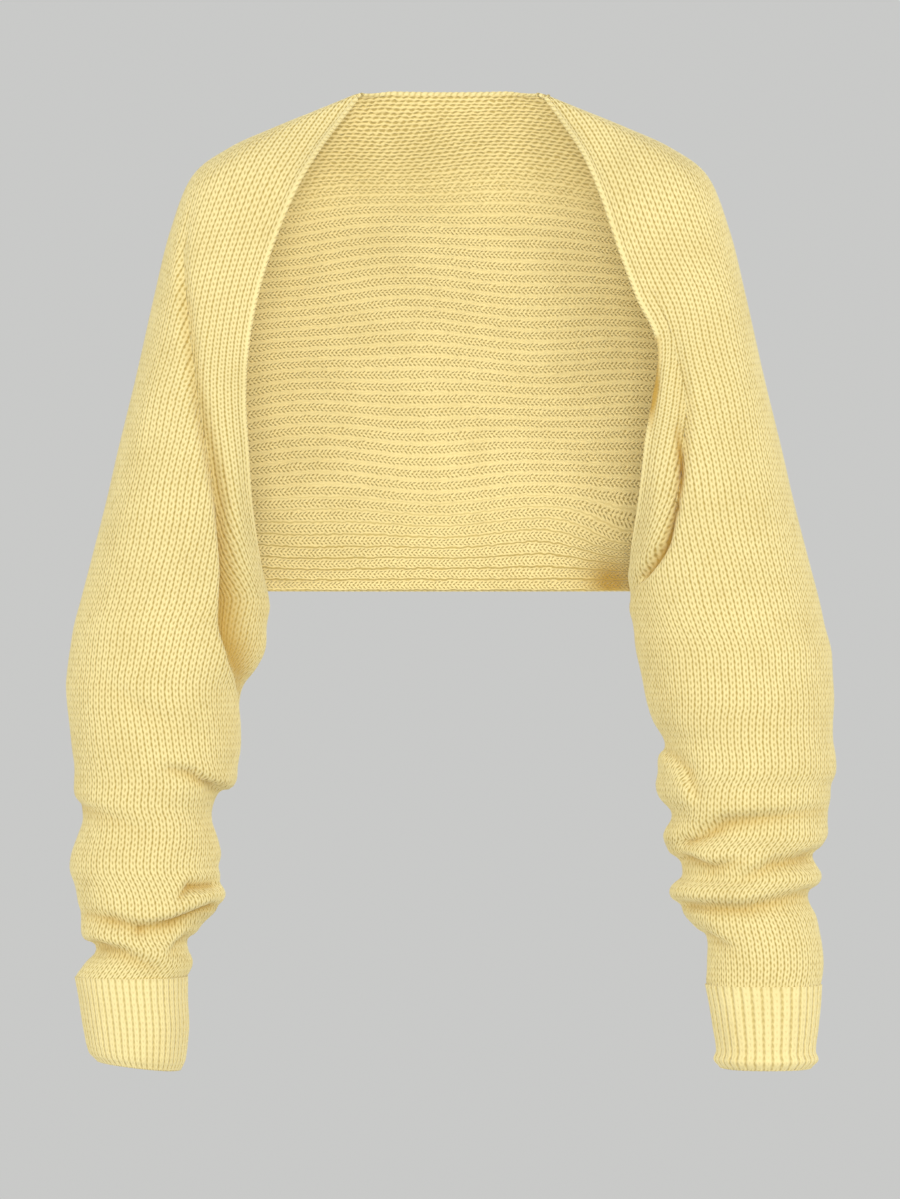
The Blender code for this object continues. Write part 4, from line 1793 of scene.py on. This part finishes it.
class Cuff:
    """A ribbed cuff with a soft rolled end. Its rows are ROW_STEP millimetres apart."""

    ROW_STEP = 1.2
    COLUMNS = 8

    def __init__(self, sizes: CuffSizes) -> None:
        """Work out the cuff's points.

        Args:
            sizes: Its sizes.
        """
        self.sizes = sizes
        side = sizes.side.value
        rings = (sizes.rings[0]._replace(drop=sizes.rings[0].drop + sizes.gap),) + sizes.rings[1:]
        keys = np.array([ring_keys(side, ring) for ring in rings])
        drops = np.array([ring.drop for ring in rings], float)
        count = int((drops[-1] - drops[0]) / self.ROW_STEP)
        levels = np.linspace(drops[0], drops[-1], count + 1)
        positions = np.interp(levels, drops, np.arange(len(drops)))
        at = spline(keys, positions)
        at[..., 2] = np.stack([
            np.interp(levels, drops, keys[:, key, 2]) for key in range(LAST_KEY + 1)], axis=1)
        line = np.concatenate([at[:, -2:-1], at, at[:, 1:2]], axis=1)
        around = np.linspace(0, LAST_KEY, sizes.ribs * self.COLUMNS + 1)
        self.points = round_section(line, around)
        across = np.roll(self.points[:, :-1], -1, axis=1) - np.roll(self.points[:, :-1], 1, axis=1)
        across = np.concatenate([across, across[:, :1]], axis=1)
        down = np.array([0.0, 0.0, -1.0])
        self.facing = unit(np.cross(across, down)) * -side
        self.ribs = np.broadcast_to(around / LAST_KEY * sizes.ribs, self.points.shape[:2])
        self.along = np.broadcast_to((levels - drops[0])[:, None] / GAUGE.course, self.points.shape[:2])

    def build(self, finishes: Finishes) -> list[bpy.types.Object]:
        """Make the cuff's skins and ends.

        Args:
            finishes: Finishes of the cardigan.

        Returns:
            The objects, the outside first.
        """
        sizes = self.sizes
        height = cuff_height(ARRAYS, self.ribs, self.along) * sizes.rib
        outer = self.points + self.facing * height[..., None]
        inner = self.points - self.facing * sizes.cloth
        made = []
        walls = (("outside", outer, 1, self.facing), ("inside", inner, 4, -self.facing))
        for part, points, step, facing in walls:
            skin = Skin(
                f"{sizes.name}_{part}", points[:, ::step], self.ribs[:, ::step].copy(),
                self.along[:, ::step].copy(), facing[:, ::step])
            made.append(skin.build(finishes.cuff))
        down = np.broadcast_to(np.array([0.0, 0.0, -1.0]), outer[-1, ::2].shape)
        chains = self.ribs[-1, ::2] * 2
        for part, row, away, bulge in (("end", -1, down, 0.5), ("top", 0, -down, 0.05)):
            skin = edge_skin(
                f"{sizes.name}_{part}", outer[row, ::2], inner[row, ::2], away, chains, bulge, closed=True)
            made.append(skin.build(finishes.edging))
        return dress(made, sizes.name)


class Finishes:
    """All finishes of the cardigan, one material for each kind of knitting."""

    def __init__(self) -> None:
        """Make the materials."""
        self.stocking = YarnFinish("yarn_stocking", Pattern.STOCKING, level=0.68).material()
        self.purl = YarnFinish("yarn_purl", Pattern.PURL).material()
        # The inside of the back takes a paler yarn colour as painted light, against the shade that falls
        # there.
        self.back_inside = YarnFinish(
            "yarn_back_inside", Pattern.BACK_INSIDE, INNER_PAINTED_LIGHT_YELLOW, level=0.75, gap_shade_strength=0.75).material()
        self.back_outside = YarnFinish("yarn_back_outside", Pattern.BACK_OUTSIDE).material()
        self.cuff = YarnFinish("yarn_cuff", Pattern.CUFF, level=0.8, gap_shade_strength=0.62).material()
        self.edging = YarnFinish("yarn_edging", Pattern.EDGING, level=0.88, gap_shade_strength=0.5).material()


class Cardigan:
    """The whole cardigan."""

    def __init__(self) -> None:
        """Work out the form of every part."""
        self.left = Sleeve(SleeveSizes(
            "sleeve_left", Side.LEFT, LEFT_EDGE, LEFT_RINGS, LEFT_FOLDS, 0.55, 0.0))
        self.right = Sleeve(SleeveSizes(
            "sleeve_right", Side.RIGHT, RIGHT_EDGE, RIGHT_RINGS, RIGHT_FOLDS, 1.0, 0.9))
        self.back = BackPanel(BackSizes(), self.left.form, self.right.form)
        self.cuffs = (
            Cuff(CuffSizes("cuff_left", Side.LEFT, LEFT_CUFF, ribs=34, rib=1.2)),
            Cuff(CuffSizes("cuff_right", Side.RIGHT, RIGHT_CUFF, ribs=48, rib=0.7)),
        )

    def build(self) -> None:
        """Make every piece."""
        finishes = Finishes()
        for part in (self.back, self.left, self.right, *self.cuffs):
            part.build(finishes)


@dataclass(frozen=True)
class StudioSizes:
    """Light, floor and camera.

    Args:
        backdrop: Grey of the background.
        distance: Distance from the camera to the middle of the cardigan.
        centre: What the camera looks at.
        lens: Focal length in millimetres.
        sensor: Width of the camera's sensor in millimetres.
        floor: Height of the floor.
        floor_size: Half width of the floor.
        floor_dark: Darker colour of the floor.
        floor_pale: Paler colour of the floor.
        grain: Scale of the noise between the two.
    """

    backdrop: tuple[float, float, float, float] = (0.584, 0.587, 0.578, 1.0)
    distance: float = 4.5
    centre: tuple[float, float, float] = (0.0, -0.035, -0.393)
    lens: float = 174.4
    sensor: float = 36.0
    floor: float = -1.6
    floor_size: float = 3.2
    floor_dark: tuple[float, float, float, float] = (0.6, 0.6, 0.59, 1.0)
    floor_pale: tuple[float, float, float, float] = (0.64, 0.64, 0.63, 1.0)
    grain: float = 30.0


class Studio:
    """A plain soft studio."""

    def __init__(self, sizes: StudioSizes) -> None:
        """Keep the studio's sizes."""
        self.sizes = sizes

    def build(self) -> None:
        """Make the backdrop, floor, lights and camera."""
        self.background()
        self.floor()
        for lamp in LAMPS:
            self.light(lamp)
        self.camera()

    def background(self) -> None:
        """Plain grey all round."""
        world = bpy.data.worlds.new("studio")
        world.use_nodes = True
        shader = world.node_tree.nodes["Background"]
        shader.inputs["Color"].default_value = self.sizes.backdrop
        shader.inputs["Strength"].default_value = 1.0
        bpy.context.scene.world = world
        bpy.context.scene.view_settings.view_transform = "Standard"

    def floor(self) -> None:
        """A plain pale floor, well below the hanging cardigan."""
        mesh = bmesh.new()
        bmesh.ops.create_grid(mesh, x_segments=1, y_segments=1, size=self.sizes.floor_size)
        bmesh.ops.translate(mesh, verts=mesh.verts[:], vec=Vector((0, 0, self.sizes.floor)))
        data = bpy.data.meshes.new("floor")
        mesh.to_mesh(data)
        mesh.free()
        material = bpy.data.materials.new("floor_paint")
        graph = Graph(material)
        place = graph.value("ShaderNodeTexCoord", {}, {}, "Object")
        grain = graph.value("ShaderNodeTexNoise", {}, {"Vector": place, "Scale": self.sizes.grain})
        colour = graph.blend(grain, self.sizes.floor_dark, self.sizes.floor_pale)
        shader = graph.node("ShaderNodeBsdfPrincipled", {}, {
            "Base Color": colour, "Roughness": 1.0, "Specular IOR Level": 0.0})
        graph.node("ShaderNodeOutputMaterial", {}, {"Surface": Value(graph, shader.outputs[0])})
        data.materials.append(material)
        add_object("floor", data)

    def light(self, lamp: Lamp) -> None:
        """A large soft light that points at the cardigan.

        Args:
            lamp: Its name, place, power and size.
        """
        data = bpy.data.lights.new(lamp.name, "AREA")
        data.energy = lamp.power
        data.size = lamp.size
        item = add_object(lamp.name, data)
        item.location = lamp.place
        aim = Vector(self.sizes.centre) - Vector(lamp.place)
        item.rotation_euler = aim.to_track_quat("-Z", "Y").to_euler()

    def camera(self) -> None:
        """The photo's view, straight from the front."""
        data = bpy.data.cameras.new("photo_view")
        data.lens = self.sizes.lens
        data.sensor_width = self.sizes.sensor
        item = add_object("photo_view", data)
        x, y, z = self.sizes.centre
        item.location = (x, y - self.sizes.distance, z)
        item.rotation_euler = (math.pi / 2, 0, 0)
        bpy.context.scene.camera = item


def main() -> None:
    """Build the cardigan on its frame, and the studio round it."""
    logging.basicConfig(level=logging.INFO)
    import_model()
    Cardigan().build()
    Studio(StudioSizes()).build()


if __name__ == "__main__":
    main()
